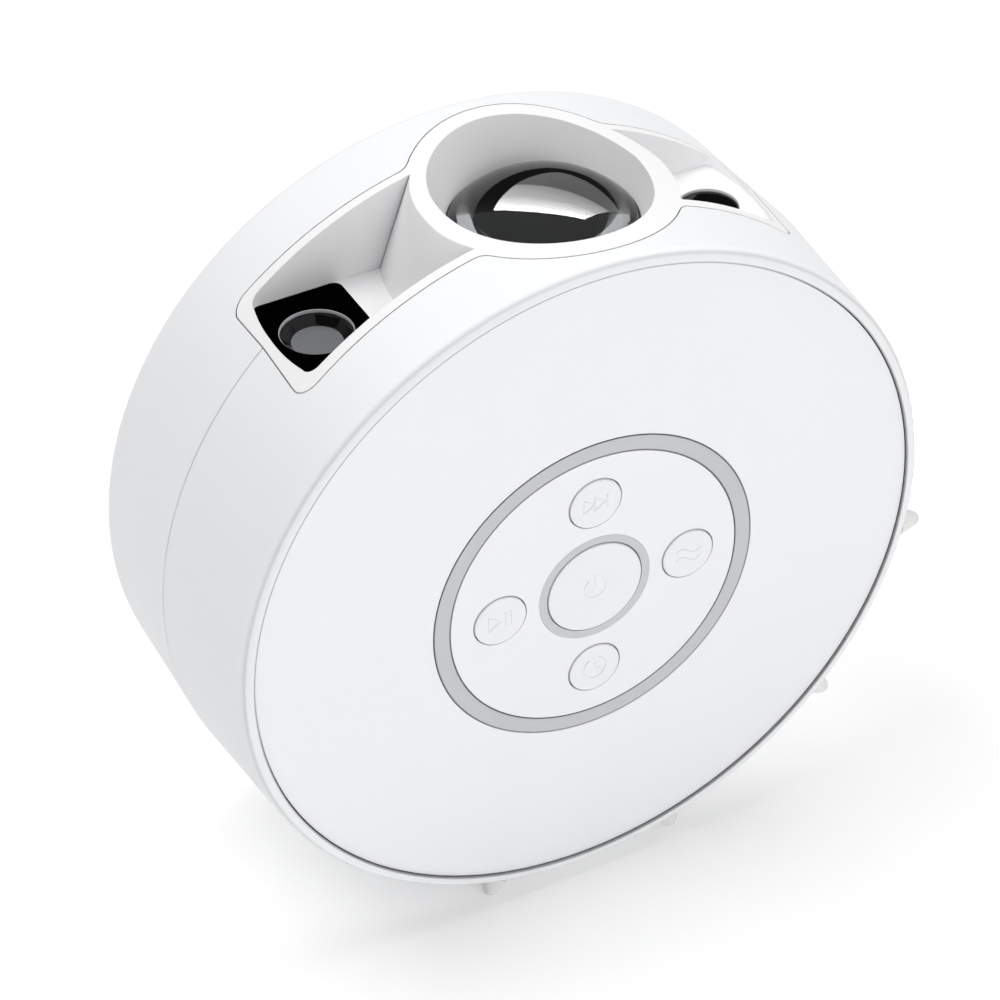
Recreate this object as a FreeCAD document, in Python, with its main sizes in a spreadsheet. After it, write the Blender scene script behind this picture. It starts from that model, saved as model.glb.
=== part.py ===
import FreeCAD, Part
import math
import os
import Sketcher
from FreeCAD import Vector

# A star projector: a drum that stands on its edge on soft feet. A fixed and a turning wave glass and a
# projection lens stand on one upright axis under the top trim, a laser stands beside them under a turning
# grating, and the keypad sits in the middle of the front.
#
# X runs to the right as seen from the front, Y to the back and Z up. The origin is on the table under the
# middle of the drum. The pieces are drawn about the drum's centre, which AXIS_HEIGHT lifts to its place.
# Lengths are in millimetres and angles in degrees.

SIZES = {
    # drum
    "drum_radius": 82.5,  # at the parting line
    "front_draft": 2.2,  # the front half tapers by this much up to its rim
    "rear_draft": 1.0,  # the rear half tapers by this much up to its back edge
    "front_spare": 4.7,  # from the swelling round the lens to the front rim
    "rear_spare": 5.45,  # from the swelling round the lens to the back
    "parting_offset": 1.0,  # the parting line lies this far behind the middle
    "seam": 0.2,  # both halves are chamfered by this much along the parting line
    "rim_round": 2.0,
    "rear_round": 2.5,
    "wall": 2.2,
    "lip_wall": 1.1,
    "tongue_length": 2.7,
    "fit_gap": 0.15,
    # front bulkhead and panel
    "panel_sink": 2.4,  # from the front rim to the bulkhead, which the panel's edge rests on
    "bulkhead_wall": 1.9,
    "bulkhead_margin": 4.0,  # from the keypad board to the bulkhead's hole
    "rim_width": 3.1,
    "panel_gap": 0.25,
    "panel_edge_sink": 0.6,
    "panel_rise": 0.7,  # the panel's middle stands this far in front of the rim
    "panel_curve": 1740.0,
    "panel_wall": 1.8,
    "panel_lip_width": 2.9,
    "panel_land_width": 6.2,  # width of the panel's edge that lies on the bulkhead
    "panel_screw_inset": 15.2,
    "panel_screw_first_angle": 45.0,
    "panel_screw_step_angle": 90.0,
    "panel_screw_count": 4,
    # light ring
    "ring_outer": 37.64,
    "ring_width": 3.74,
    "ring_step": 1.96,
    "ring_rise": 0.75,  # in front of the rim
    "ring_height": 3.75,
    # keypad
    "keypad_wall": 2.2,
    "keypad_skirt": 2.15,
    "keypad_step": 1.3,
    "keypad_height": 5.75,  # from the keypad's front to the keypad board
    "button_step_angle": 90.0,
    "button_count": 4,
    "button_inset": 1.175,  # the keys lie this far inside the middle of the plate between its two rings
    "button_radius": 5.95,
    "button_step": 1.25,
    "button_proud": 0.3,
    "button_gap": 0.3,
    "button_edge": 0.3,
    "flange_wall": 1.0,
    "flange_gap": 0.1,
    "power_radius": 11.0,
    "power_step": 2.4,
    "power_ring_width": 1.75,
    "power_ring_wall": 1.3,
    "board_wall": 1.6,
    "keypad_screw_margin": 3.4,  # from the light ring's flange out to the keypad screws
    "keypad_board_rim": 3.0,
    "keypad_screw_count": 4,
    "switch_width": 5.2,
    "switch_height": 1.5,
    "plunger_radius": 1.2,
    "plunger_height": 0.3,
    "ring_led_count": 12,
    "ring_led_width": 2.8,
    "ring_led_length": 1.4,
    "ring_led_height": 0.9,
    # top trim
    "trim_half_width": 16.3,
    "trim_drop": 22.383,  # the trim's ends lie this far below the top of the drum
    "trim_spare": 1.5,
    "trim_corner": 3.5,
    "trim_gap": 0.2,
    "trim_side_rim": 2.1,
    "trim_end_rim": 2.2,
    "bulge_wall": 3.3,
    "bulge_blend": 4.0,
    "bulge_depth": 16.5,
    "lens_x": 6.2,  # the lens stands to the right of the drum's middle
    "well_flare": 5.2,
    "well_margin": 0.6,
    "well_depth": 12.5,
    "barrel_step": 1.0,
    "pocket_sill": 0.283,  # the pockets' floors lie this far above the trim's ends
    "pocket_floor_wall": 2.0,
    "pocket_bow": 50.0,
    "pocket_corner": 2.5,
    "pocket_draft": 0.6,
    "flare_wall": 1.2,
    "laser_flare": 7.6,
    "receiver_flare": 5.7,
    "laser_inset": 11.3,
    "receiver_inset": 11.3,
    "plate_reach": 11.3,
    "plate_margin": 0.3,
    "plate_corner": 1.8,
    "plate_wall": 0.9,
    "plate_sink": 0.7,
    "plate_gap": 0.1,
    "laser_hole": 7.7,
    "receiver_hole": 6.6,
    "hook_inset": 16.5,
    "hook_width": 4.0,
    "hook_reach": 1.4,
    "hook_depth": 16.2,
    "hook_height": 3.8,
    # lens and barrel
    "lens_radius": 19.3,
    "lens_curve": 26.6,
    "lens_sink": 3.3,  # the lens's top lies this far below the top of the drum
    "lens_step": 2.5,
    "lens_gap": 0.1,
    "lens_ledge": 1.0,
    "barrel_wall": 2.9,
    "barrel_lip_wall": 0.35,
    "barrel_stand": 6.0,
    "barrel_flange_wall": 2.0,
    "barrel_flange_reach": 1.8,
    "barrel_clearance": 0.4,
    "barrel_corner": 3.0,
    "wave_drop": 9.0,
    "wave_margin": 0.7,
    "wave_wall": 2.0,
    # turning wave glass
    "gear_teeth_count": 60,
    "pinion_teeth_count": 12,
    "gear_rim": 2.6,
    "tooth_rise": 0.7,
    "tooth_sink": 1.0,
    "tooth_root_width": 1.5,
    "tooth_tip_width": 0.5,
    "gear_lift": 0.3,
    "gear_height": 5.2,
    "ledge_lift": 4.0,
    "ledge_width": 1.4,
    "spigot_height": 3.6,
    "running_gap": 0.05,
    "press_gap": 0.01,
    "turning_wall": 1.2,
    "pinion_lift": 0.6,
    "pinion_height": 4.6,
    # lamp
    "base_depth": 52.5,  # from the top of the drum down to the frame that carries the optics
    "base_wall": 2.0,
    "base_clearance": 0.3,
    "base_margin": 2.2,
    "base_corner": 3.0,
    "tube_step": 1.6,
    "tube_wall": 2.0,
    "tube_length": 24.0,
    "condenser_lift": 7.0,
    "condenser_ledge_wall": 2.0,
    "condenser_ledge": 1.4,
    "condenser_edge": 2.0,
    "condenser_rise": 5.0,
    "post_inset": 5.4,
    "post_edge": 3.5,
    "sink_margin": 4.6,
    "sink_cover": 1.1,
    "sink_screw_inset": 3.0,
    "sink_plate": 4.0,
    "fin_height": 20.0,
    "fin_wall": 1.5,
    "fin_count": 9,
    "led_board_gap": 1.9,
    "led_count": 4,
    "led_offset": 3.3,
    "led_width": 3.4,
    "led_height": 0.7,
    "led_dome": 1.3,
    "leg_length": 13.25,
    "leg_left_inset": 7.0,
    "leg_right_inset": 5.0,
    "leg_low_lift": 4.5,
    "leg_high_drop": 7.0,
    # motor of the wave glass
    "motor_radius": 10.0,
    "motor_length": 19.0,
    "motor_boss_radius": 3.0,
    "motor_boss_height": 2.2,
    "motor_screw_pitch": 8.2,
    "motor_shaft_radius": 1.0,
    "motor_shaft_depth": 7.0,
    "terminal_width": 1.6,
    "terminal_wall": 0.5,
    "terminal_length": 3.0,
    # laser
    "laser_radius": 6.0,
    "laser_depth": 18.4,  # from the pocket's floor to the laser
    "laser_length": 28.0,
    "laser_port": 2.5,
    "nose_radius": 8.6,
    "nose_flange": 9.6,
    "nose_flange_wall": 1.4,
    "nose_tail_radius": 6.5,
    "nose_tail_length": 8.4,
    "nose_cone_radius": 7.4,
    "nose_cone_foot": 5.7,
    "nose_cone_depth": 1.7,
    "nose_bore": 4.3,
    "nose_side_count": 8,
    "laser_window_radius": 5.3,
    "laser_window_wall": 1.1,
    "grating_radius": 17.0,
    "grating_offset": 8.0,
    "grating_y": 10.2,
    "grating_lift": 3.0,
    "grating_wall": 1.2,
    "hub_radius": 3.0,
    "hub_drop": 2.4,
    "grating_shaft_radius": 0.75,
    "grating_shaft_depth": 6.0,
    "grating_motor_radius": 6.0,
    "grating_motor_length": 18.0,
    "bracket_drop": 16.0,
    "bracket_height": 8.0,
    "bracket_wall": 2.5,
    "ear_left": 11.4,
    "ear_right": 19.2,
    # receiver
    "receiver_flange": 8.4,
    "receiver_window_wall": 1.5,
    "receiver_window_gap": 0.15,
    "receiver_window_sink": 0.5,
    "receiver_window_rise": 0.6,
    "receiver_post_y": 11.4,
    "receiver_post_length": 7.4,
    "receiver_board_half_x": 5.0,
    "receiver_board_half_y": 14.0,
    "receiver_half_width": 3.8,
    "receiver_gap": 0.3,
    # electronics
    "main_board_half_x": 30.0,
    "main_board_height": 36.0,
    "main_board_lift": 22.5,  # from the bottom of the drum
    "main_board_standoff": 9.25,
    "main_screw_inset": 4.0,
    "inlet_width": 8.94,
    "inlet_height": 3.26,
    "inlet_corner": 1.5,
    "inlet_lift": 13.0,
    "inlet_wall": 0.35,
    "inlet_sink": 0.35,
    "inlet_tongue_width": 6.7,
    "inlet_tongue_wall": 0.7,
    "inlet_gap": 0.3,
    "inlet_floor": 1.5,
    # back wall
    "vent_half_length": 25.0,
    "vent_height": 2.2,
    "vent_corner": 1.0,
    "vent_pitch": 6.0,
    "upper_vent_drop": 45.5,
    "upper_vent_count": 5,
    "lower_vent_top": 16.0,  # below the middle
    "lower_vent_count": 4,
    # screws
    "case_screw_inset": 6.5,
    "case_screw_first_angle": 60.0,
    "case_screw_step_angle": 48.0,
    "case_screw_count": 6,
    "case_screw_radius": 1.5,
    "case_screw_length": 20.0,
    "case_head_radius": 2.8,
    "case_head_height": 2.0,
    "case_boss_radius": 3.8,
    "case_well_radius": 3.2,
    "case_well_wall": 1.6,
    "case_boss_meet": 3.0,
    "case_well_floor": 9.0,
    "screw_radius": 1.0,
    "screw_head_radius": 2.0,
    "screw_head_height": 1.6,
    "screw_length": 6.0,
    "panel_screw_length": 3.1,
    "boss_radius": 2.6,
    "hole_gap": 0.1,
    "thread_gap": 0.05,
    "pilot_spare": 0.5,
    # feet
    "foot_count": 4,
    "foot_spacing_angle": 31.0,
    "foot_inset": 4.5,  # from the front rim back to the front feet
    "foot_reach": 2.5,
    "foot_tip_round": 1.7,
    "foot_taper_angle": 20.0,
    "foot_stem_radius": 1.8,
    "foot_stem_length": 4.0,
}

FULL_ANGLE = 360
HALF_ANGLE = 180

doc = FreeCAD.newDocument("StarProjector")
sheet = doc.addObject("Spreadsheet::Sheet", "Sizes")


class Size:
    """A number together with the spreadsheet expression that gives it."""

    def __init__(self, value, text):
        self.value = float(value)
        self.text = text

    def __add__(self, other):
        other = sized(other)
        return Size(self.value + other.value, f"({self.text} + {other.text})")

    def __sub__(self, other):
        other = sized(other)
        return Size(self.value - other.value, f"({self.text} - {other.text})")

    def __mul__(self, other):
        other = sized(other)
        return Size(self.value * other.value, f"({self.text} * {other.text})")

    def __truediv__(self, other):
        other = sized(other)
        return Size(self.value / other.value, f"({self.text} / {other.text})")

    def __radd__(self, other):
        return sized(other) + self

    def __rsub__(self, other):
        return sized(other) - self

    def __rmul__(self, other):
        return sized(other) * self

    def __rtruediv__(self, other):
        return sized(other) / self

    def __neg__(self):
        return Size(-self.value, f"(0 - {self.text})")


class Sheet:
    """The driving sizes, read by name. Sizes that follow from them are set on it further down."""

    def __getattr__(self, name):
        return Size(SIZES[name], f"Sizes.{name}")


def sized(value):
    """A plain number as a Size."""
    return value if isinstance(value, Size) else Size(value, repr(float(value)))


def root(size):
    return Size(math.sqrt(size.value), f"sqrt({size.text})")


def sine(angle):
    angle = sized(angle)
    return Size(math.sin(math.radians(angle.value)), f"sin({angle.text})")


def cosine(angle):
    angle = sized(angle)
    return Size(math.cos(math.radians(angle.value)), f"cos({angle.text})")


def tangent(angle):
    return sine(angle) / cosine(angle)


def arc_radius(half_chord, rise):
    """Radius of an arc from half its chord and how far it rises over it."""
    return (half_chord * half_chord + rise * rise) / (2 * rise)


def fill_sheet():
    for row, (name, value) in enumerate(SIZES.items(), start=1):
        sheet.set(f"A{row}", name)
        sheet.set(f"B{row}", str(value))
        sheet.setAlias(f"B{row}", name)
    doc.recompute()


# ---------------------------------------------------------------- drawing helpers

PLANES = {"x": "YZ_Plane", "y": "XZ_Plane", "z": "XY_Plane"}
AXES = {"x": "X_Axis", "y": "Y_Axis", "z": "Z_Axis"}
PIECES = []


def bind(thing, name, value):
    """Drive a property from the spreadsheet."""
    thing.setExpression(name, sized(value).text)


def piece(label, x=0, y=0, z=0):
    """A new body with its own label, placed from the middle of the drum."""
    body = doc.addObject("PartDesign::Body", label)
    body.Label = label
    body.AllowCompound = True
    bind(body, "Placement.Base.x", x)
    bind(body, "Placement.Base.y", y)
    bind(body, "Placement.Base.z", AXIS_HEIGHT + z)
    PIECES.append(body)
    return body


def origin_feature(body, role):
    return [feature for feature in body.Origin.OriginFeatures if feature.Role == role][0]


def new_sketch(body, axis, offset=0, shift=None, tilt=None):
    """A sketch square to an axis of the body, shifted sideways and tilted in its own plane."""
    sketch = body.newObject("Sketcher::SketchObject", "Sketch")
    sketch.AttachmentSupport = [(origin_feature(body, PLANES[axis]), "")]
    sketch.MapMode = "FlatFace"
    bind(sketch, "AttachmentOffset.Base.z", -sized(offset) if axis == "y" else offset)
    if shift is not None:
        bind(sketch, "AttachmentOffset.Base.x", shift)
    if tilt is not None:
        bind(sketch, "AttachmentOffset.Rotation.Angle", tilt)
    return sketch


def hold(sketch, kind, *where_and_value):
    """Add a dimension to a sketch and drive it from the spreadsheet."""
    *where, value = where_and_value
    value = sized(value)
    index = sketch.addConstraint(Sketcher.Constraint(kind, *where, value.value))
    bind(sketch, f"Constraints[{index}]", value)


def draw_circle(sketch, radius, x=0, y=0):
    circle = Part.Circle(Vector(sized(x).value, sized(y).value, 0), Vector(0, 0, 1), sized(radius).value)
    index = sketch.addGeometry(circle, False)
    hold(sketch, "Radius", index, radius)
    hold(sketch, "DistanceX", -1, 1, index, 3, x)
    hold(sketch, "DistanceY", -1, 1, index, 3, y)


def arc_between(start, end, bend):
    """The short arc of radius |bend| from start to end, turning left where bend is positive."""
    half = (end - start) * 0.5
    left = Vector(-half.y, half.x, 0).normalize()
    sagitta = abs(bend) - math.sqrt(max(bend**2 - half.Length**2, 0))
    return Part.Arc(start, start + half - left * math.copysign(sagitta, bend), end)


def draw_outline(sketch, points):
    """A closed outline. A third entry of a point is the signed radius of the arc to the next point."""
    count = len(points)
    spots = [Vector(sized(point[0]).value, sized(point[1]).value, 0) for point in points]
    ends = []
    for number, point in enumerate(points):
        start = spots[number]
        end = spots[(number + 1) % count]
        if len(point) == 3:
            bend = sized(point[2])
            index = sketch.addGeometry(arc_between(start, end, bend.value), False)
            hold(sketch, "Radius", index, bend if bend.value > 0 else -bend)
            ends.append((index, 1, 2) if bend.value > 0 else (index, 2, 1))
        else:
            index = sketch.addGeometry(Part.LineSegment(start, end), False)
            ends.append((index, 1, 2))
    for number, (index, first, last) in enumerate(ends):
        following, following_first, _ = ends[(number + 1) % count]
        sketch.addConstraint(Sketcher.Constraint("Coincident", index, last, following, following_first))
        hold(sketch, "DistanceX", -1, 1, index, first, points[number][0])
        hold(sketch, "DistanceY", -1, 1, index, first, points[number][1])


def rectangle(left, right, foot, top):
    return [(left, foot), (right, foot), (right, top), (left, top)]


def rounded(left, right, foot, top, corner):
    """A rectangle with rounded corners."""
    return [
        (left + corner, foot),
        (right - corner, foot, corner),
        (right, foot + corner),
        (right, top - corner, corner),
        (right - corner, top),
        (left + corner, top, corner),
        (left, top - corner),
        (left, foot + corner, corner),
    ]


def prism(body, axis, start, end, outlines=(), circles=(), cut=False, tilt=None):
    """Add or cut what is drawn square to an axis, from start to end along that axis."""
    sketch = new_sketch(body, axis, start, tilt=tilt)
    for points in outlines:
        draw_outline(sketch, points)
    for circle in circles:
        draw_circle(sketch, *circle)
    feature = body.newObject("PartDesign::Pocket" if cut else "PartDesign::Pad", "Prism")
    feature.Profile = sketch
    bind(feature, "Length", end - start)
    feature.Reversed = (axis != "y") == cut
    return feature


def turn(body, axis, points, cut=False, offset=0, shift=None, tilt=None):
    """Add or cut an outline of (radius, height) points turned about an axis of the body.

    About z, offset moves that axis along Y, shift moves it along X and tilt leans it in the XZ plane.
    """
    if axis == "y":
        sketch = new_sketch(body, "x")
        mirrored = [(point[1], point[0]) + tuple(-sized(bend) for bend in point[2:]) for point in points]
        draw_outline(sketch, mirrored)
    else:
        sketch = new_sketch(body, "y", offset, shift, tilt)
        draw_outline(sketch, points)
    feature = body.newObject("PartDesign::Groove" if cut else "PartDesign::Revolution", "Turned")
    feature.Profile = sketch
    feature.ReferenceAxis = (sketch, ["H_Axis" if axis == "y" else "V_Axis"])
    feature.Angle = FULL_ANGLE
    return feature


def scoop(body, low, low_outline, high, high_outline):
    """Cut away what lies between an outline at one height and another above it."""
    profile = new_sketch(body, "z", low)
    draw_outline(profile, low_outline)
    section = new_sketch(body, "z", high)
    draw_outline(section, high_outline)
    feature = body.newObject("PartDesign::SubtractiveLoft", "Scoop")
    feature.Profile = profile
    feature.Sections = [section]
    feature.Ruled = True
    return feature


def around(body, feature, axis, count, angle=FULL_ANGLE, reverse=False):
    """Repeat a feature round an axis of the body, spread over an angle."""
    pattern = body.newObject("PartDesign::PolarPattern", "Around")
    pattern.Originals = [feature]
    pattern.Axis = (origin_feature(body, AXES[axis]), [""])
    pattern.Reversed = reverse
    bind(pattern, "Angle", angle)
    bind(pattern, "Occurrences", count)
    body.Tip = pattern
    return pattern


def along(body, feature, axis, count, length):
    """Repeat a feature along an axis of the body, spread over a length."""
    pattern = body.newObject("PartDesign::LinearPattern", "Along")
    pattern.Originals = [feature]
    pattern.Direction = (origin_feature(body, AXES[axis]), [""])
    bind(pattern, "Length", length)
    bind(pattern, "Occurrences", count)
    body.Tip = pattern
    return pattern


def ring_of(radius, pitch, first, step, count):
    """Equal circles on a pitch circle about the drum's axis, counted clockwise from the top."""
    angles = [first + step * number for number in range(int(count.value))]
    return [(radius, pitch * sine(angle), pitch * cosine(angle)) for angle in angles]


def spots_of(ring):
    """The places of a ring's screws."""
    return [spot[1:] for spot in ring_of(1, *ring)]


def screws(body, axis, seat, tip, spots, head_radius, head_height, shank_radius):
    """Cap screws whose heads rest on seat and whose shanks reach to tip."""
    shanks = [(shank_radius,) + spot for spot in spots]
    heads = [(head_radius,) + spot for spot in spots]
    if tip.value < seat.value:
        prism(body, axis, tip, seat, circles=shanks)
        prism(body, axis, seat, seat + head_height, circles=heads)
    else:
        prism(body, axis, seat, tip, circles=shanks)
        prism(body, axis, seat - head_height, seat, circles=heads)


s = Sheet()
fill_sheet()

# ---------------------------------------------------------------- sizes that follow from others

# lens well and top trim
s.well_top = s.drum_radius + s.trim_spare
s.well_top_radius = s.lens_radius + s.well_flare
s.well_foot = s.drum_radius - s.well_depth
s.well_foot_radius = s.lens_radius + s.well_margin
s.bulge_radius = s.well_top_radius + s.bulge_wall
s.bulge_foot = s.drum_radius - s.bulge_depth
s.trim_end_height = s.drum_radius - s.trim_drop
s.trim_half_length = root(s.drum_radius * s.drum_radius - s.trim_end_height * s.trim_end_height)
s.pocket_floor = s.trim_end_height + s.pocket_sill
s.pocket_bottom = s.pocket_floor - s.pocket_floor_wall
s.pocket_end = s.trim_half_length - s.trim_end_rim
s.pocket_half_width = s.trim_half_width - s.trim_side_rim
s.flare_top_radius = s.well_top_radius + s.flare_wall
s.laser_flare_radius = s.flare_top_radius + s.laser_flare
s.receiver_flare_radius = s.flare_top_radius + s.receiver_flare
s.laser_x = s.trim_half_length - s.laser_inset
s.receiver_x = s.trim_half_length - s.receiver_inset
s.plate_right = s.laser_x - s.plate_reach
s.plate_half_width = s.pocket_half_width - s.pocket_draft - s.plate_margin
s.hook_x = s.trim_half_length - s.hook_inset
s.hook_top = s.drum_radius - s.hook_depth

# drum
s.front_radius = s.drum_radius - s.front_draft
s.rear_radius = s.drum_radius - s.rear_draft
s.lip_radius = s.drum_radius - s.lip_wall
s.inner_radius = s.drum_radius - s.wall
s.front_depth = s.bulge_radius + s.front_spare
s.rear_depth = s.bulge_radius + s.rear_spare
s.front_roll = s.front_depth - s.rim_round
s.rear_roll = s.rear_depth - s.rear_round
s.tongue_end = s.parting_offset - s.tongue_length
s.seat_depth = s.front_depth - s.panel_sink
s.bulkhead_back = s.seat_depth - s.bulkhead_wall
s.back_inside = s.rear_depth - s.wall
s.case_screw_pitch = s.drum_radius - s.case_screw_inset
s.upper_vent_foot = s.drum_radius - s.upper_vent_drop
s.foot_y = s.front_depth - s.foot_inset
s.foot_tip_centre = s.drum_radius + s.foot_reach
s.foot_row = s.foot_spacing_angle * (s.foot_count - 1)
s.first_foot = HALF_ANGLE - s.foot_spacing_angle / 2

# light ring and keypad
s.ring_inner = s.ring_outer - s.ring_width
s.ring_flange = s.ring_outer + s.ring_step
s.ring_depth = s.front_depth + s.ring_rise
s.ring_back = s.ring_depth - s.ring_height
s.keypad_flange = s.ring_inner + s.keypad_step
s.power_ring_outer = s.power_radius + s.button_gap + s.power_ring_width
s.power_flange = s.power_radius + s.power_step
s.button_flange = s.button_radius + s.button_step
s.button_pitch = (s.ring_inner + s.power_ring_outer) / 2 - s.button_inset
s.ring_led_pitch = (s.keypad_flange + s.ring_flange) / 2
s.board_front = s.ring_depth - s.keypad_height
s.board_back = s.board_front - s.board_wall
s.keypad_screw_pitch = s.ring_flange + s.keypad_screw_margin
s.keypad_board_radius = s.keypad_screw_pitch + s.keypad_board_rim
s.bulkhead_hole = s.keypad_board_radius + s.bulkhead_margin

# front panel
s.panel_radius = s.front_radius - s.rim_width
s.panel_edge_depth = s.front_depth - s.panel_edge_sink
s.panel_inner_depth = s.front_depth + s.panel_rise
s.panel_lip_depth = s.panel_inner_depth - s.panel_wall
s.panel_lip_radius = s.ring_flange + s.panel_lip_width
s.panel_land_radius = s.panel_radius - s.panel_land_width
s.panel_screw_pitch = s.panel_radius - s.panel_screw_inset

# lens, barrel and wave glasses
s.base_top = s.drum_radius - s.base_depth
s.lens_curve_centre = s.drum_radius - s.lens_sink - s.lens_curve
s.lens_seat = s.well_foot - s.lens_step
s.barrel_seat = s.well_foot - s.barrel_step
s.barrel_radius = s.lens_radius + s.barrel_wall
s.barrel_bore = s.lens_radius - s.lens_ledge
s.barrel_foot = s.base_top + s.barrel_stand
s.barrel_flange_half_x = s.barrel_radius + s.barrel_flange_reach
s.barrel_flange_half_y = s.board_back - s.barrel_clearance
s.post_x = s.barrel_flange_half_x - s.post_inset
s.post_y = s.barrel_flange_half_y - s.post_edge
s.wave_seat = s.barrel_foot + s.wave_drop
s.wave_radius = s.lens_radius + s.wave_margin
s.turning_radius = s.wave_radius + s.ledge_width
s.gear_radius = s.turning_radius + s.gear_rim
s.gear_foot = s.base_top + s.gear_lift
s.gear_ledge = s.base_top + s.ledge_lift
s.pinion_radius = s.gear_radius * s.pinion_teeth_count / s.gear_teeth_count
s.pinion_x = s.lens_x + s.gear_radius + s.pinion_radius
s.pinion_foot = s.base_top + s.pinion_lift

# lamp
s.base_bottom = s.base_top - s.base_wall
s.base_right = s.gear_radius + s.pinion_radius + s.motor_radius + s.base_margin
s.base_half_width = s.board_back - s.screw_head_height - s.base_clearance
s.tube_radius = s.wave_radius - s.tube_step
s.tube_bore = s.tube_radius - s.tube_wall
s.tube_foot = s.base_top - s.tube_length
s.condenser_seat = s.tube_foot + s.condenser_lift
s.condenser_ledge_bore = s.tube_bore - s.condenser_ledge
s.condenser_radius = s.tube_bore - s.lens_gap
s.led_board_radius = s.tube_bore - s.led_board_gap
s.sink_half_x = s.tube_radius + s.sink_margin
s.sink_half_y = s.tube_bore + s.sink_cover
s.sink_screw_x = s.sink_half_x - s.sink_screw_inset
s.sink_screw_y = s.sink_half_y - s.sink_screw_inset
s.leg_back = s.rear_depth - s.leg_length
s.leg_front = s.leg_back - s.base_wall
s.leg_low = s.tube_foot + s.leg_low_lift
s.leg_high = s.base_top - s.leg_high_drop
s.leg_left = s.lens_x - s.gear_radius + s.leg_left_inset
s.leg_right = s.lens_x + s.base_right - s.leg_right_inset

# laser
s.laser_top = s.pocket_floor - s.laser_depth
s.grating_x = s.grating_offset - s.laser_x
s.grating_foot = s.laser_top + s.grating_lift
s.bracket_foot = s.laser_top - s.bracket_drop
s.ear_z = s.bracket_foot + s.bracket_height / 2

# electronics
s.main_board_front = s.rear_depth - s.main_board_standoff
s.main_board_back = s.main_board_front + s.board_wall
s.main_board_foot = s.main_board_lift - s.drum_radius
s.main_board_top = s.main_board_foot + s.main_board_height
s.main_screw_x = s.main_board_half_x - s.main_screw_inset
s.inlet_z = s.main_board_foot + s.inlet_lift

# The drum rests on its two lowest feet.
AXIS_HEIGHT = s.foot_tip_centre * cosine(s.foot_spacing_angle / 2) + s.foot_tip_round

# ---------------------------------------------------------------- shared places and surfaces

FRONT_SLOPE = s.front_draft / (s.parting_offset + s.front_roll)
REAR_SLOPE = s.rear_draft / (s.rear_roll - s.parting_offset)
SCREW_HOLE = s.screw_radius + s.hole_gap
PILOT = s.screw_radius + s.thread_gap
CASE_SPOTS = (s.case_screw_pitch, s.case_screw_first_angle, s.case_screw_step_angle, s.case_screw_count)
PANEL_SPOTS = (s.panel_screw_pitch, s.panel_screw_first_angle, s.panel_screw_step_angle, s.panel_screw_count)
KEYPAD_SPOTS = (
    s.keypad_screw_pitch, s.panel_screw_first_angle, s.panel_screw_step_angle, s.keypad_screw_count,
)
BUTTON_SPOTS = (s.button_pitch, 0, s.button_step_angle, s.button_count)
LEG_SPOTS = [(x, z) for x in (s.leg_left, s.leg_right) for z in (s.leg_low, s.leg_high)]
EAR_SPOTS = [(-s.laser_x - s.ear_left, s.ear_z), (s.ear_right - s.laser_x, s.ear_z)]
BOARD_HEIGHTS = (s.main_board_foot + s.main_screw_inset, s.main_board_top - s.main_screw_inset)
BOARD_SPOTS = [(x, z) for x in (-s.main_screw_x, s.main_screw_x) for z in BOARD_HEIGHTS]


def front_surface(depth):
    """Radius of the front half at a distance in front of the middle."""
    return s.drum_radius - FRONT_SLOPE * (s.parting_offset + depth)


def rear_surface(depth):
    """Radius of the rear half at a distance behind the middle."""
    return s.drum_radius - REAR_SLOPE * (depth - s.parting_offset)


def trim_outline(grow=0):
    """The top trim seen from above: a bar with rounded corners that swells round the lens."""
    width = s.trim_half_width + grow
    length = s.trim_half_length + grow
    corner = s.trim_corner + grow
    bulge = s.bulge_radius + grow
    blend = s.bulge_blend - grow
    blend_y = width + blend
    blend_x = root((bulge + blend) * (bulge + blend) - blend_y * blend_y)
    share = bulge / (bulge + blend)
    return [
        (corner - length, -width),
        (s.lens_x - blend_x, -width, -blend),
        (s.lens_x - blend_x * share, -blend_y * share, bulge),
        (s.lens_x + blend_x * share, -blend_y * share, -blend),
        (s.lens_x + blend_x, -width),
        (length - corner, -width, corner),
        (length, corner - width),
        (length, width - corner, corner),
        (length - corner, width),
        (s.lens_x + blend_x, width, -blend),
        (s.lens_x + blend_x * share, blend_y * share, bulge),
        (s.lens_x - blend_x * share, blend_y * share, -blend),
        (s.lens_x - blend_x, width),
        (corner - length, width, corner),
        (-length, width - corner),
        (-length, corner - width, corner),
    ]


def cut_trim_opening(body):
    prism(body, "z", s.pocket_bottom, s.well_top, [trim_outline(s.trim_gap)], cut=True)


def cut_foot_sockets(body, row_y, surface):
    """Radial holes for the feet's stems, in a row round the bottom and the right side."""
    radius = s.foot_stem_radius + s.thread_gap
    outline = rectangle(0, radius, surface - s.foot_stem_length, surface + s.wall)
    first = turn(body, "z", outline, cut=True, offset=row_y, tilt=s.first_foot)
    around(body, first, "y", s.foot_count, s.foot_row, reverse=True)


def bosses(body, spots, start, end, pilot_end):
    """Screw bosses along y from the wall at end, with pilot holes from their faces at start."""
    prism(body, "y", start, end, circles=[(s.boss_radius,) + spot for spot in spots])
    prism(body, "y", start, pilot_end, circles=[(PILOT,) + spot for spot in spots], cut=True)


# ---------------------------------------------------------------- drum

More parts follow.
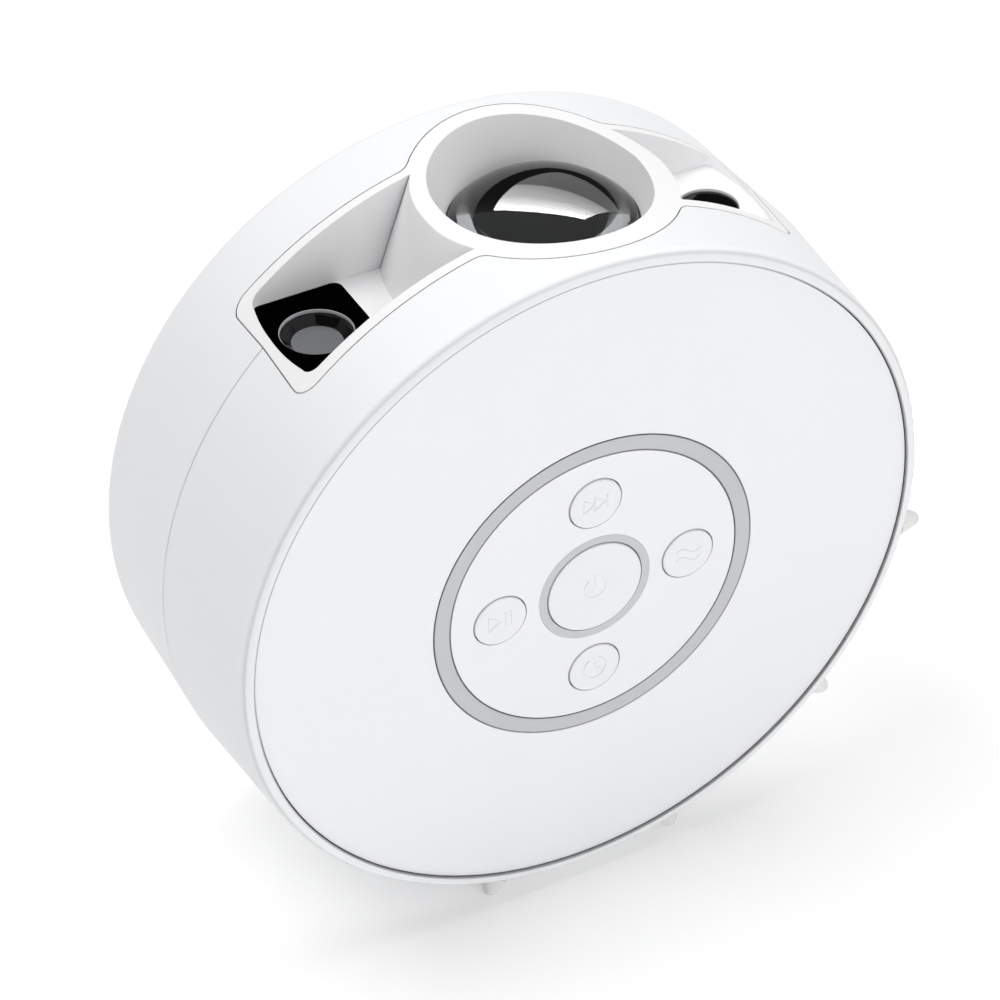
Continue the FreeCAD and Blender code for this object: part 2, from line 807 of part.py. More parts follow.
# front half of the drum: a tapered wall with a rolled rim, a bulkhead behind the panel and screw bosses
front_shell = piece("front_shell")
turn(front_shell, "y", [
    (s.drum_radius - s.seam, s.parting_offset),
    (front_surface(s.seam - s.parting_offset), s.parting_offset - s.seam),
    (s.front_radius, -s.front_roll, -s.rim_round),
    (s.front_radius - s.rim_round, -s.front_depth),
    (s.panel_radius + s.panel_gap, -s.front_depth),
    (s.panel_radius + s.panel_gap, -s.seat_depth),
    (s.bulkhead_hole, -s.seat_depth),
    (s.bulkhead_hole, -s.bulkhead_back),
    (front_surface(s.bulkhead_back) - s.wall, -s.bulkhead_back),
    (s.inner_radius, s.tongue_end - s.trim_gap),
    (s.lip_radius, s.tongue_end - s.trim_gap),
    (s.lip_radius, s.parting_offset),
])
prism(front_shell, "y", -s.seat_depth, s.case_boss_meet, circles=ring_of(s.case_boss_radius, *CASE_SPOTS))
prism(
    front_shell, "y",
    s.case_well_floor - s.case_screw_length - s.pilot_spare, s.case_boss_meet,
    circles=ring_of(s.case_screw_radius + s.thread_gap, *CASE_SPOTS), cut=True,
)
panel_screw_holes = ring_of(SCREW_HOLE, *PANEL_SPOTS)
prism(front_shell, "y", -s.seat_depth, -s.bulkhead_back, circles=panel_screw_holes, cut=True)
cut_trim_opening(front_shell)
cut_foot_sockets(front_shell, -s.foot_y, front_surface(s.foot_y))

# rear half of the drum: its tongue slides into the front half and the case screws come in from the back
rear_shell = piece("rear_shell")
turn(rear_shell, "y", [
    (s.drum_radius - s.seam, s.parting_offset),
    (rear_surface(s.parting_offset + s.seam), s.parting_offset + s.seam),
    (s.rear_radius, s.rear_roll, s.rear_round),
    (s.rear_radius - s.rear_round, s.rear_depth),
    (0, s.rear_depth),
    (0, s.back_inside),
    (rear_surface(s.back_inside) - s.wall, s.back_inside),
    (s.inner_radius, s.parting_offset),
    (s.inner_radius, s.tongue_end),
    (s.lip_radius - s.fit_gap, s.tongue_end),
    (s.lip_radius - s.fit_gap, s.parting_offset),
])
case_well_outside = s.case_well_radius + s.case_well_wall
prism(rear_shell, "y", s.case_boss_meet, s.back_inside, circles=ring_of(case_well_outside, *CASE_SPOTS))
prism(
    rear_shell, "y", s.case_boss_meet, s.case_well_floor,
    circles=ring_of(s.case_screw_radius + s.hole_gap, *CASE_SPOTS), cut=True,
)
case_wells = ring_of(s.case_well_radius, *CASE_SPOTS)
prism(rear_shell, "y", s.case_well_floor, s.rear_depth, circles=case_wells, cut=True)
cut_trim_opening(rear_shell)
cut_foot_sockets(rear_shell, s.foot_y, rear_surface(s.foot_y))
bosses(rear_shell, LEG_SPOTS + EAR_SPOTS, s.leg_back, s.back_inside, s.leg_back + s.screw_length)
bosses(rear_shell, BOARD_SPOTS, s.main_board_back, s.back_inside, s.main_board_front + s.screw_length)
for foot, count in ((s.upper_vent_foot, s.upper_vent_count), (-s.lower_vent_top, s.lower_vent_count)):
    slot = rounded(-s.vent_half_length, s.vent_half_length, foot, foot + s.vent_height, s.vent_corner)
    vent = prism(rear_shell, "y", s.back_inside, s.rear_depth, [slot], cut=True)
    along(rear_shell, vent, "z", count, s.vent_pitch * (count - 1))
inlet_x = s.inlet_width / 2 + s.inlet_gap
inlet_half = s.inlet_height / 2 + s.inlet_gap
inlet_opening = rounded(-inlet_x, inlet_x, s.inlet_z - inlet_half, s.inlet_z + inlet_half, s.inlet_corner)
prism(rear_shell, "y", s.back_inside, s.rear_depth, [inlet_opening], cut=True)


def make_feet(label, row_y, near, far, surface):
    """Soft feet with their stems pushed into the drum.

    surface gives the drum's radius at a depth, and near and far are the depths that a foot's base spans.
    """
    body = piece(label)
    tip_radius = s.foot_tip_round * cosine(s.foot_taper_angle)
    tip_height = s.foot_tip_centre + s.foot_tip_round * sine(s.foot_taper_angle)
    skin = surface(s.foot_y)
    inside = skin - s.wall
    cone = turn(body, "z", [
        (0, inside),
        (tip_radius + (tip_height - inside) * tangent(s.foot_taper_angle), inside),
        (tip_radius, tip_height, s.foot_tip_round),
        (0, s.foot_tip_centre + s.foot_tip_round),
    ], offset=row_y, tilt=s.first_foot)
    around(body, cone, "y", s.foot_count, s.foot_row, reverse=True)
    drum = [(0, near[0]), (surface(near[1]), near[0]), (surface(far[1]), far[0]), (0, far[0])]
    turn(body, "y", drum, cut=True)
    outline = rectangle(0, s.foot_stem_radius, skin - s.foot_stem_length, skin + s.lip_wall)
    stem = turn(body, "z", outline, offset=row_y, tilt=s.first_foot)
    around(body, stem, "y", s.foot_count, s.foot_row, reverse=True)


foot_near = s.foot_y - 2 * s.boss_radius
foot_far = s.foot_y + 2 * s.boss_radius
make_feet("front_feet", -s.foot_y, (-foot_far, foot_far), (-foot_near, foot_near), front_surface)
make_feet("rear_feet", s.foot_y, (foot_near, foot_near), (foot_far, foot_far), rear_surface)

# ---------------------------------------------------------------- front panel, light ring and keypad

# front panel: slightly domed, with bosses for its own screws and for the keypad board
panel_hole = s.ring_outer + s.fit_gap
face_panel = piece("face_panel")
turn(face_panel, "y", [
    (s.panel_radius, -s.panel_edge_depth, -s.panel_curve),
    (panel_hole, -s.panel_inner_depth),
    (panel_hole, -s.panel_lip_depth),
    (s.panel_lip_radius, -s.panel_lip_depth),
    (s.panel_land_radius, -s.seat_depth),
    (s.panel_radius, -s.seat_depth),
])
prism(
    face_panel, "y", -s.panel_lip_depth, -s.board_front,
    circles=ring_of(s.boss_radius, *KEYPAD_SPOTS),
)
prism(face_panel, "y", -s.panel_lip_depth, -s.seat_depth, circles=ring_of(s.boss_radius, *PANEL_SPOTS))
keypad_screw_tip = -s.board_back - s.screw_length
prism(
    face_panel, "y", keypad_screw_tip - s.hole_gap, -s.board_front,
    circles=ring_of(PILOT, *KEYPAD_SPOTS), cut=True,
)
panel_screw_tip = -s.bulkhead_back - s.panel_screw_length
prism(
    face_panel, "y", panel_screw_tip - s.hole_gap, -s.seat_depth,
    circles=ring_of(PILOT, *PANEL_SPOTS), cut=True,
)

# light ring: translucent, with a flange that keeps it behind the panel
light_ring = piece("light_ring")
turn(light_ring, "y", [
    (s.ring_outer, -s.ring_depth),
    (s.ring_outer, -s.panel_lip_depth),
    (s.ring_flange, -s.panel_lip_depth),
    (s.ring_flange, -s.ring_back),
    (s.ring_inner, -s.ring_back),
    (s.ring_inner, -s.ring_depth),
])

# keypad plate: a shallow dish that stands on the keypad board and holds the keys
keypad_edge = s.ring_inner - s.fit_gap
keypad_inside = s.ring_depth - s.keypad_wall
power_hole = s.power_radius + s.button_gap
power_ring_seat = s.ring_depth - s.power_ring_wall
keypad_plate = piece("keypad_plate")
turn(keypad_plate, "y", [
    (keypad_edge, -s.ring_depth),
    (keypad_edge, -s.ring_back),
    (s.keypad_flange, -s.ring_back),
    (s.keypad_flange, -s.board_front),
    (keypad_edge - s.keypad_skirt, -s.board_front),
    (keypad_edge - s.keypad_skirt, -keypad_inside),
    (power_hole, -keypad_inside),
    (power_hole, -power_ring_seat),
    (s.power_ring_outer + s.thread_gap, -power_ring_seat),
    (s.power_ring_outer + s.thread_gap, -s.ring_depth),
])
button_hole = s.button_radius + s.button_gap
prism(
    keypad_plate, "y", -s.ring_depth, -keypad_inside,
    circles=ring_of(button_hole, *BUTTON_SPOTS), cut=True,
)

# power ring: set flush into the plate round the power key
power_ring = piece("power_ring")
turn(power_ring, "y", [
    (s.power_ring_outer, -s.ring_depth),
    (s.power_ring_outer, -power_ring_seat),
    (power_hole, -power_ring_seat),
    (power_hole, -s.ring_depth),
])


def make_button(label, radius, flange, x=0, z=0):
    """A key cap with a flange that keeps it behind the keypad plate."""
    body = piece(label, x=x, z=z)
    front = -s.ring_depth - s.button_proud
    shoulder = s.flange_gap - keypad_inside
    turn(body, "y", [
        (0, front),
        (radius - s.button_edge, front, s.button_edge),
        (radius, front + s.button_edge),
        (radius, shoulder),
        (flange, shoulder),
        (flange, shoulder + s.flange_wall),
        (0, shoulder + s.flange_wall),
    ])


make_button("power_button", s.power_radius, s.power_flange)
make_button("play_button", s.button_radius, s.button_flange, x=-s.button_pitch)
make_button("next_button", s.button_radius, s.button_flange, z=s.button_pitch)
make_button("mode_button", s.button_radius, s.button_flange, x=s.button_pitch)
make_button("timer_button", s.button_radius, s.button_flange, z=-s.button_pitch)

# keypad board: round, screwed to the panel's bosses
keypad_board = piece("keypad_board")
prism(
    keypad_board, "y", -s.board_front, -s.board_back,
    circles=[(s.keypad_board_radius,)] + ring_of(SCREW_HOLE, *KEYPAD_SPOTS),
)

# one switch with a plunger behind each key
switch_spots = spots_of(BUTTON_SPOTS) + [(sized(0), sized(0))]
switch_half = s.switch_width / 2
switch_front = -s.board_front - s.switch_height
keypad_switches = piece("keypad_switches")
prism(keypad_switches, "y", switch_front, -s.board_front, [
    rectangle(x - switch_half, x + switch_half, z - switch_half, z + switch_half) for x, z in switch_spots
])
prism(
    keypad_switches, "y", switch_front - s.plunger_height, switch_front,
    circles=[(s.plunger_radius, x, z) for x, z in switch_spots],
)

# small lamps on the keypad board behind the light ring
ring_led_x = s.ring_led_width / 2
ring_led_z = s.ring_led_length / 2
ring_leds = piece("ring_leds")
ring_led = prism(ring_leds, "y", -s.board_front - s.ring_led_height, -s.board_front, [
    rectangle(-ring_led_x, ring_led_x, s.ring_led_pitch - ring_led_z, s.ring_led_pitch + ring_led_z)
])
around(ring_leds, ring_led, "y", s.ring_led_count)

# ---------------------------------------------------------------- top trim


def pocket_outline(side, lens_x, flare, grow):
    """A pocket from above, on the left (-1) or right (1), hollowed at its inner end by the lens flare."""
    width = s.pocket_half_width + grow
    end = s.pocket_end + grow
    corner = s.pocket_corner
    inner = root(flare * flare - width * width) + side * lens_x
    return [
        (side * inner, -width),
        (side * (end - corner), -width, side * corner),
        (side * end, corner - width, side * s.pocket_bow),
        (side * end, width - corner, side * corner),
        (side * (end - corner), width),
        (side * inner, width, -side * flare),
    ]


def plate_outline(grow=0):
    """The plate on the floor of the left pocket, bowed at its outer end like the pocket."""
    end = s.pocket_end - s.pocket_draft - s.plate_gap + grow
    width = s.plate_half_width + grow
    corner = s.plate_corner
    return [
        (-s.plate_right + grow - corner, -width, corner),
        (-s.plate_right + grow, corner - width),
        (-s.plate_right + grow, width - corner, corner),
        (-s.plate_right + grow - corner, width),
        (corner - end, width, corner),
        (-end, width - corner, s.pocket_bow),
        (-end, corner - width, corner),
        (corner - end, -width),
    ]


def pocket(body, side, flare):
    scoop(
        body,
        s.pocket_floor, pocket_outline(side, s.lens_x, flare, -s.pocket_draft),
        s.well_top, pocket_outline(side, s.lens_x, s.flare_top_radius, 0),
    )


# top trim: a bar that swells round the flared lens well, with a pocket at each side, cut to the drum's
# own tapered surface and held by four hooks under the shells
lens_bezel = piece("lens_bezel")
trim_x = s.trim_half_length
trim_y = s.trim_half_width
trim_bar = rounded(-trim_x, trim_x, -trim_y, trim_y, s.trim_corner)
prism(lens_bezel, "z", s.pocket_bottom, s.bulge_foot, [trim_bar])
prism(lens_bezel, "z", s.bulge_foot, s.well_top, [trim_outline()])
outside = s.well_top + s.trim_half_length
reach = s.bulge_radius + s.wall
turn(lens_bezel, "y", [
    (s.drum_radius, s.parting_offset),
    (front_surface(reach), -reach),
    (outside, -reach),
    (outside, reach),
    (rear_surface(reach), reach),
], cut=True)
turn(lens_bezel, "z", [
    (0, s.pocket_bottom),
    (s.well_foot_radius, s.pocket_bottom),
    (s.well_foot_radius, s.well_foot),
    (s.well_top_radius, s.well_top),
    (0, s.well_top),
], cut=True, shift=s.lens_x)
barrel_hole = rectangle(0, s.barrel_radius + s.trim_gap, s.pocket_bottom, s.barrel_seat)
turn(lens_bezel, "z", barrel_hole, cut=True, shift=s.lens_x)
pocket(lens_bezel, -1, s.laser_flare_radius)
pocket(lens_bezel, 1, s.receiver_flare_radius)
plate_bottom = s.pocket_floor - s.plate_sink
prism(lens_bezel, "z", plate_bottom, s.pocket_floor, [plate_outline(s.plate_gap / 2)], cut=True)
prism(
    lens_bezel, "z", s.pocket_bottom, s.pocket_floor,
    circles=[(s.nose_radius + s.plate_gap, -s.laser_x), (s.receiver_hole, s.receiver_x)], cut=True,
)
for side in (-1, 1):
    hook_inner = side * (trim_y - s.hook_reach)
    hook_outer = side * (trim_y + s.hook_reach)
    hook = [
        (hook_inner, s.hook_top - s.hook_height),
        (hook_outer, s.hook_top - s.hook_reach),
        (hook_outer, s.hook_top),
        (hook_inner, s.hook_top),
    ]
    for start in (-s.hook_x - s.hook_width / 2, s.hook_x - s.hook_width / 2):
        prism(lens_bezel, "x", start, start + s.hook_width, [hook])
receiver_spots = [(s.receiver_x, -s.receiver_post_y), (s.receiver_x, s.receiver_post_y)]
receiver_seat = s.pocket_bottom - s.receiver_post_length
receiver_posts = [(s.boss_radius,) + spot for spot in receiver_spots]
prism(lens_bezel, "z", receiver_seat, s.pocket_bottom, circles=receiver_posts)
prism(
    lens_bezel, "z", receiver_seat, receiver_seat + s.screw_length,
    circles=[(PILOT,) + spot for spot in receiver_spots], cut=True,
)

# ---------------------------------------------------------------- lens, barrel and wave glasses

# projection lens: a thick dome with a short straight edge and a flat underside
lens_edge = s.lens_curve_centre + root(s.lens_curve * s.lens_curve - s.lens_radius * s.lens_radius)
projection_lens = piece("projection_lens", x=s.lens_x)
turn(projection_lens, "z", [
    (0, s.lens_seat),
    (s.lens_radius, s.lens_seat),
    (s.lens_radius, lens_edge, s.lens_curve),
    (0, s.lens_curve_centre + s.lens_curve),
])

# barrel: holds the lens at its top and the fixed wave glass lower down, and stands on four posts
barrel_mouth = s.lens_radius + s.lens_gap
wave_bore = s.wave_radius + s.lens_gap
lens_barrel = piece("lens_barrel", x=s.lens_x)
turn(lens_barrel, "z", [
    (s.barrel_bore, s.wave_seat),
    (wave_bore, s.wave_seat),
    (wave_bore, s.barrel_foot),
    (s.barrel_radius, s.barrel_foot),
    (s.barrel_radius, s.barrel_seat),
    (barrel_mouth + s.barrel_lip_wall, s.barrel_seat),
    (barrel_mouth + s.barrel_lip_wall, s.well_foot),
    (barrel_mouth, s.well_foot),
    (barrel_mouth, s.lens_seat),
    (s.barrel_bore, s.lens_seat),
])
flange_top = s.barrel_foot + s.barrel_flange_wall
flange_x = s.barrel_flange_half_x
flange_y = s.barrel_flange_half_y
prism(
    lens_barrel, "z", s.barrel_foot, flange_top,
    [rounded(-flange_x, flange_x, -flange_y, flange_y, s.barrel_corner)], [(wave_bore,)],
)
post_spots = [(x, y) for x in (-s.post_x, s.post_x) for y in (-s.post_y, s.post_y)]
post_holes = [(SCREW_HOLE,) + spot for spot in post_spots]
prism(lens_barrel, "z", s.barrel_foot, flange_top, circles=post_holes, cut=True)

# fixed wave glass
ripple_plate = piece("ripple_plate", x=s.lens_x)
prism(ripple_plate, "z", s.wave_seat - s.wave_wall, s.wave_seat, circles=[(s.wave_radius,)])


def teeth(body, pitch_radius, count, foot, height, tilt=None):
    """Gear teeth that stand on the rim of a body."""
    rim = pitch_radius - s.tooth_sink
    tip = pitch_radius + s.tooth_rise
    tooth = [
        (rim - s.tooth_rise, -s.tooth_root_width / 2),
        (rim, -s.tooth_root_width / 2),
        (tip, -s.tooth_tip_width / 2),
        (tip, s.tooth_tip_width / 2),
        (rim, s.tooth_root_width / 2),
        (rim - s.tooth_rise, s.tooth_root_width / 2),
    ]
    around(body, prism(body, "z", foot, foot + height, [tooth], tilt=tilt), "z", count)


# toothed ring: turns on the frame's spigot and carries the turning wave glass on a ledge
ripple_gear = piece("ripple_gear", x=s.lens_x)
gear_top = s.gear_foot + s.gear_height
turn(ripple_gear, "z", [
    (s.wave_radius + s.running_gap, s.gear_foot),
    (s.gear_radius - s.tooth_sink, s.gear_foot),
    (s.gear_radius - s.tooth_sink, gear_top),
    (s.turning_radius + s.running_gap, gear_top),
    (s.turning_radius + s.running_gap, s.gear_ledge),
    (s.wave_radius + s.running_gap, s.gear_ledge),
])
teeth(ripple_gear, s.gear_radius, s.gear_teeth_count, s.gear_foot, s.gear_height)

# turning wave glass
ripple_glass = piece("ripple_glass", x=s.lens_x)
prism(ripple_glass, "z", s.gear_ledge, s.gear_ledge + s.turning_wall, circles=[(s.turning_radius,)])

# pinion on the motor's shaft, turned by half a tooth so that it meshes with the ring
pinion_top = s.pinion_foot + s.pinion_height
ripple_pinion = piece("ripple_pinion", x=s.pinion_x)
prism(
    ripple_pinion, "z", s.pinion_foot, pinion_top,
    circles=[(s.pinion_radius - s.tooth_sink,), (s.motor_shaft_radius + s.press_gap,)],
)
half_tooth = HALF_ANGLE / s.pinion_teeth_count
teeth(ripple_pinion, s.pinion_radius, s.pinion_teeth_count, s.pinion_foot, s.pinion_height, tilt=half_tooth)

# ---------------------------------------------------------------- lamp and motor under the wave glasses

motor_x = s.gear_radius + s.pinion_radius
motor_spots = [(motor_x, -s.motor_screw_pitch), (motor_x, s.motor_screw_pitch)]
sink_spots = [(x, y) for x in (-s.sink_screw_x, s.sink_screw_x) for y in (-s.sink_screw_y, s.sink_screw_y)]

# frame: a deck, a lamp tube with a spigot for the toothed ring, a lower plate and a back leg, in one piece
optics_base = piece("optics_base", x=s.lens_x)
prism(
    optics_base, "z", s.base_bottom, s.base_top,
    [rounded(-s.gear_radius, s.base_right, -s.base_half_width, s.base_half_width, s.base_corner)],
)
prism(optics_base, "z", s.tube_foot, s.tube_foot + s.base_wall, [
    rectangle(-s.sink_half_x, s.sink_half_x, -s.sink_half_y, s.leg_back)
])
prism(optics_base, "y", s.leg_front, s.leg_back, [
    rectangle(-s.gear_radius, s.base_right, s.tube_foot, s.base_top)
])
turn(optics_base, "z", rectangle(0, s.tube_radius, s.tube_foot, s.base_top))
prism(optics_base, "z", s.base_top, s.base_top + s.spigot_height, circles=[(s.wave_radius,)])
turn(optics_base, "z", [
    (0, s.tube_foot),
    (s.tube_bore, s.tube_foot),
    (s.tube_bore, s.condenser_seat - s.condenser_ledge_wall),
    (s.condenser_ledge_bore, s.condenser_seat - s.condenser_ledge_wall),
    (s.condenser_ledge_bore, s.condenser_seat),
    (s.tube_bore, s.condenser_seat),
    (s.tube_bore, s.base_top + s.spigot_height),
    (0, s.base_top + s.spigot_height),
], cut=True)
prism(optics_base, "z", s.base_top, s.barrel_foot, circles=[(s.boss_radius,) + spot for spot in post_spots])
prism(
    optics_base, "z", flange_top - s.screw_length - s.pilot_spare, s.barrel_foot,
    circles=[(PILOT,) + spot for spot in post_spots], cut=True,
)
motor_holes = [(s.motor_boss_radius + s.hole_gap, motor_x)] + [(SCREW_HOLE,) + spot for spot in motor_spots]
prism(optics_base, "z", s.base_bottom, s.base_top, circles=motor_holes, cut=True)
prism(
    optics_base, "z", s.tube_foot, s.tube_foot + s.base_wall,
    circles=[(SCREW_HOLE,) + spot for spot in sink_spots], cut=True,
)
prism(
    optics_base, "y", s.leg_front, s.leg_back,
    circles=[(SCREW_HOLE, x - s.lens_x, z) for x, z in LEG_SPOTS], cut=True,
)

# condenser lens: rests on the ledge inside the lamp tube
condenser_top = s.condenser_seat + s.condenser_edge
condenser_lens = piece("condenser_lens", x=s.lens_x)
turn(condenser_lens, "z", [
    (0, s.condenser_seat),
    (s.condenser_radius, s.condenser_seat),
    (s.condenser_radius, condenser_top, arc_radius(s.condenser_radius, s.condenser_rise)),
    (0, condenser_top + s.condenser_rise),
])

# lamp board: clamped between the heatsink and the foot of the tube
led_board = piece("led_board", x=s.lens_x)
prism(led_board, "z", s.tube_foot, s.tube_foot + s.board_wall, circles=[(s.led_board_radius,)])

# four lamps on the board, each with a dome
led_foot = s.tube_foot + s.board_wall
led_start = s.led_offset - s.led_width / 2
led_emitters = piece("led_emitters", x=s.lens_x)
emitter = prism(led_emitters, "z", led_foot, led_foot + s.led_height, [
    rectangle(led_start, led_start + s.led_width, -s.led_width / 2, s.led_width / 2)
])
around(led_emitters, emitter, "z", s.led_count)
dome_top = led_foot + s.led_height + s.led_dome
dome = turn(led_emitters, "z", [
    (0, led_foot + s.led_height),
    (s.led_dome, led_foot + s.led_height, s.led_dome),
    (0, dome_top),
], shift=s.led_offset)
around(led_emitters, dome, "z", s.led_count)

# heatsink: a plate with fins below it, screwed under the tube
led_heatsink = piece("led_heatsink", x=s.lens_x)
sink_foot = s.tube_foot - s.sink_plate
prism(led_heatsink, "z", sink_foot, s.tube_foot, [
    rectangle(-s.sink_half_x, s.sink_half_x, -s.sink_half_y, s.sink_half_y)
])
fin = prism(led_heatsink, "z", sink_foot - s.fin_height, sink_foot, [
    rectangle(-s.sink_half_x, s.fin_wall - s.sink_half_x, -s.sink_half_y, s.sink_half_y)
])
along(led_heatsink, fin, "x", s.fin_count, 2 * s.sink_half_x - s.fin_wall)
prism(
    led_heatsink, "z", sink_foot, s.tube_foot,
    circles=[(PILOT,) + spot for spot in sink_spots], cut=True,
)

# motor of the toothed ring: hangs under the deck, with two terminals
ripple_motor = piece("ripple_motor", x=s.pinion_x)
motor_foot = s.base_bottom - s.motor_length
prism(ripple_motor, "z", motor_foot, s.base_bottom, circles=[(s.motor_radius,)])
motor_boss_top = s.base_bottom + s.motor_boss_height
prism(ripple_motor, "z", s.base_bottom, motor_boss_top, circles=[(s.motor_boss_radius,)])
prism(
    ripple_motor, "z", s.base_bottom - s.motor_shaft_depth, motor_boss_top,
    circles=[(s.motor_shaft_radius + s.running_gap,)], cut=True,
)
prism(
    ripple_motor, "z", s.base_top - s.screw_length - s.pilot_spare, s.base_bottom,
    circles=[(PILOT, 0, -s.motor_screw_pitch), (PILOT, 0, s.motor_screw_pitch)], cut=True,
)
terminal_x = s.terminal_wall / 2
for y in (-s.motor_radius / 2, s.motor_radius / 2):
    prism(ripple_motor, "z", motor_foot - s.terminal_length, motor_foot, [
        rectangle(-terminal_x, terminal_x, y - s.terminal_width / 2, y + s.terminal_width / 2)
    ])

# the motor's shaft
ripple_shaft = piece("ripple_shaft", x=s.pinion_x)
prism(
    ripple_shaft, "z", s.base_bottom - s.motor_shaft_depth + s.pilot_spare, pinion_top,
    circles=[(s.motor_shaft_radius,)],
)

# ---------------------------------------------------------------- laser

# dark plate on the floor of the left pocket
laser_panel = piece("laser_panel")
prism(
    laser_panel, "z", plate_bottom, plate_bottom + s.plate_wall,
    [plate_outline()], [(s.laser_hole, -s.laser_x)],
)


def cup_outline(radius):
    """The flat-sided cup in the nose, seen from above."""
    step = FULL_ANGLE / s.nose_side_count
    angles = [step * number + step / 2 for number in range(int(s.nose_side_count.value))]
    return [(radius * cosine(angle), radius * sine(angle)) for angle in angles]


# laser nose: a flanged sleeve behind the plate with a flat-sided cup at its mouth
window_top = plate_bottom - s.nose_cone_depth
window_foot = window_top - s.laser_window_wall
flange_foot = s.pocket_bottom - s.nose_flange_wall
laser_nose = piece("laser_nose", x=-s.laser_x)
turn(laser_nose, "z", [
    (0, plate_bottom),
    (0, flange_foot - s.nose_tail_length),
    (s.nose_tail_radius, flange_foot - s.nose_tail_length),
    (s.nose_tail_radius, flange_foot),
    (s.nose_flange, flange_foot),
    (s.nose_flange, s.pocket_bottom),
    (s.nose_radius, s.pocket_bottom),
    (s.nose_radius, plate_bottom),
])
prism(laser_nose, "z", flange_foot - s.nose_tail_length, plate_bottom, circles=[(s.nose_bore,)], cut=True)
prism(laser_nose, "z", window_foot, window_top, circles=[(s.laser_window_radius + s.plate_gap,)], cut=True)
scoop(laser_nose, window_top, cup_outline(s.nose_cone_foot), plate_bottom, cup_outline(s.nose_cone_radius))

# window at the bottom of the cup
laser_window = piece("laser_window", x=-s.laser_x)
prism(laser_window, "z", window_foot, window_top, circles=[(s.laser_window_radius,)])

# laser module with its port
laser_module = piece("laser_module", x=-s.laser_x)
prism(laser_module, "z", s.laser_top - s.laser_length, s.laser_top, circles=[(s.laser_radius,)])
prism(laser_module, "z", s.laser_top - s.plate_wall, s.laser_top, circles=[(s.laser_port,)], cut=True)

# bracket: a block pressed round the laser and the grating's motor, screwed to the back wall by two ears
laser_bracket = piece("laser_bracket", x=-s.laser_x)
bracket_top = s.bracket_foot + s.bracket_height
block_left = s.laser_radius + s.bracket_wall
block_right = s.grating_offset + s.grating_motor_radius + s.bracket_wall
prism(laser_bracket, "z", s.bracket_foot, bracket_top, [
    rectangle(-block_left, block_right, -block_left, s.leg_back)
])
ear_end = s.boss_radius + s.hole_gap
prism(laser_bracket, "y", s.leg_front, s.leg_back, [
    rectangle(-s.ear_left - ear_end, s.ear_right + ear_end, s.bracket_foot, bracket_top)
])
laser_hole = (s.laser_radius + s.press_gap,)
motor_hole = (s.grating_motor_radius + s.press_gap, s.grating_offset, s.grating_y)
prism(laser_bracket, "z", s.bracket_foot, bracket_top, circles=[laser_hole, motor_hole], cut=True)
prism(
    laser_bracket, "y", s.leg_front, s.leg_back,
    circles=[(SCREW_HOLE, -s.ear_left, s.ear_z), (SCREW_HOLE, s.ear_right, s.ear_z)], cut=True,
)

# grating disc: turns through the beam and spreads it into stars
grating_disc = piece("grating_disc", x=s.grating_x, y=s.grating_y)
hub_foot = s.grating_foot - s.hub_drop
disc_top = s.grating_foot + s.grating_wall
hub_bore = s.grating_shaft_radius + s.press_gap
turn(grating_disc, "z", [
    (hub_bore, hub_foot),
    (s.hub_radius, hub_foot),
    (s.hub_radius, s.grating_foot),
    (s.grating_radius, s.grating_foot),
    (s.grating_radius, disc_top),
    (hub_bore, disc_top),
])

# the grating motor's shaft
grating_shaft = piece("grating_shaft", x=s.grating_x, y=s.grating_y)
prism(
    grating_shaft, "z", s.laser_top - s.grating_shaft_depth + s.pilot_spare, disc_top,
    circles=[(s.grating_shaft_radius,)],
)

# grating motor
grating_motor = piece("grating_motor", x=s.grating_x, y=s.grating_y)
grating_motor_foot = s.laser_top - s.grating_motor_length
prism(grating_motor, "z", grating_motor_foot, s.laser_top, circles=[(s.grating_motor_radius,)])
prism(
    grating_motor, "z", s.laser_top - s.grating_shaft_depth, s.laser_top,
    circles=[(s.grating_shaft_radius + s.running_gap,)], cut=True,
)

# ---------------------------------------------------------------- remote receiver

# receiver window: dark, slightly domed, held by a flange under the pocket's floor
ir_window = piece("ir_window", x=s.receiver_x)
window_edge = s.pocket_floor - s.receiver_window_sink - s.receiver_window_rise
window_radius = s.receiver_hole - s.receiver_window_gap
turn(ir_window, "z", [
    (0, s.pocket_bottom - s.receiver_window_wall),
    (s.receiver_flange, s.pocket_bottom - s.receiver_window_wall),
    (s.receiver_flange, s.pocket_bottom),
    (window_radius, s.pocket_bottom),
    (window_radius, window_edge, arc_radius(window_radius, s.receiver_window_rise)),
    (0, window_edge + s.receiver_window_rise),
])

# receiver on a small board, screwed to two posts of the trim
ir_receiver = piece("ir_receiver", x=s.receiver_x)
board_x = s.receiver_board_half_x
board_y = s.receiver_board_half_y
eye = s.receiver_half_width
prism(
    ir_receiver, "z", receiver_seat - s.board_wall, receiver_seat,
    [rectangle(-board_x, board_x, -board_y, board_y)],
    [(SCREW_HOLE, 0, -s.receiver_post_y), (SCREW_HOLE, 0, s.receiver_post_y)],
)
eye_top = s.pocket_bottom - s.receiver_window_wall - s.receiver_gap
prism(ir_receiver, "z", receiver_seat, eye_top, [rectangle(-eye, eye, -eye, eye)])

# ---------------------------------------------------------------- main board and power inlet

# main board: upright, on four bosses of the back wall
main_board = piece("main_board")
prism(
    main_board, "y", s.main_board_front, s.main_board_back,
    [rectangle(-s.main_board_half_x, s.main_board_half_x, s.main_board_foot, s.main_board_top)],
    [(SCREW_HOLE,) + spot for spot in BOARD_SPOTS],
)

# left, right, foot and top of each from the board's middle, and how far it stands out
BLOCKS = {
    "controller": (-8, 2, -5, 5, 1.6),
    "lamp driver": (8, 17, 1, 10, 1.4),
    "motor plug": (-21, -12, 8, 14, 5.5),
    "lamp plug": (-6, 6, 8.5, 14, 6.0),
}
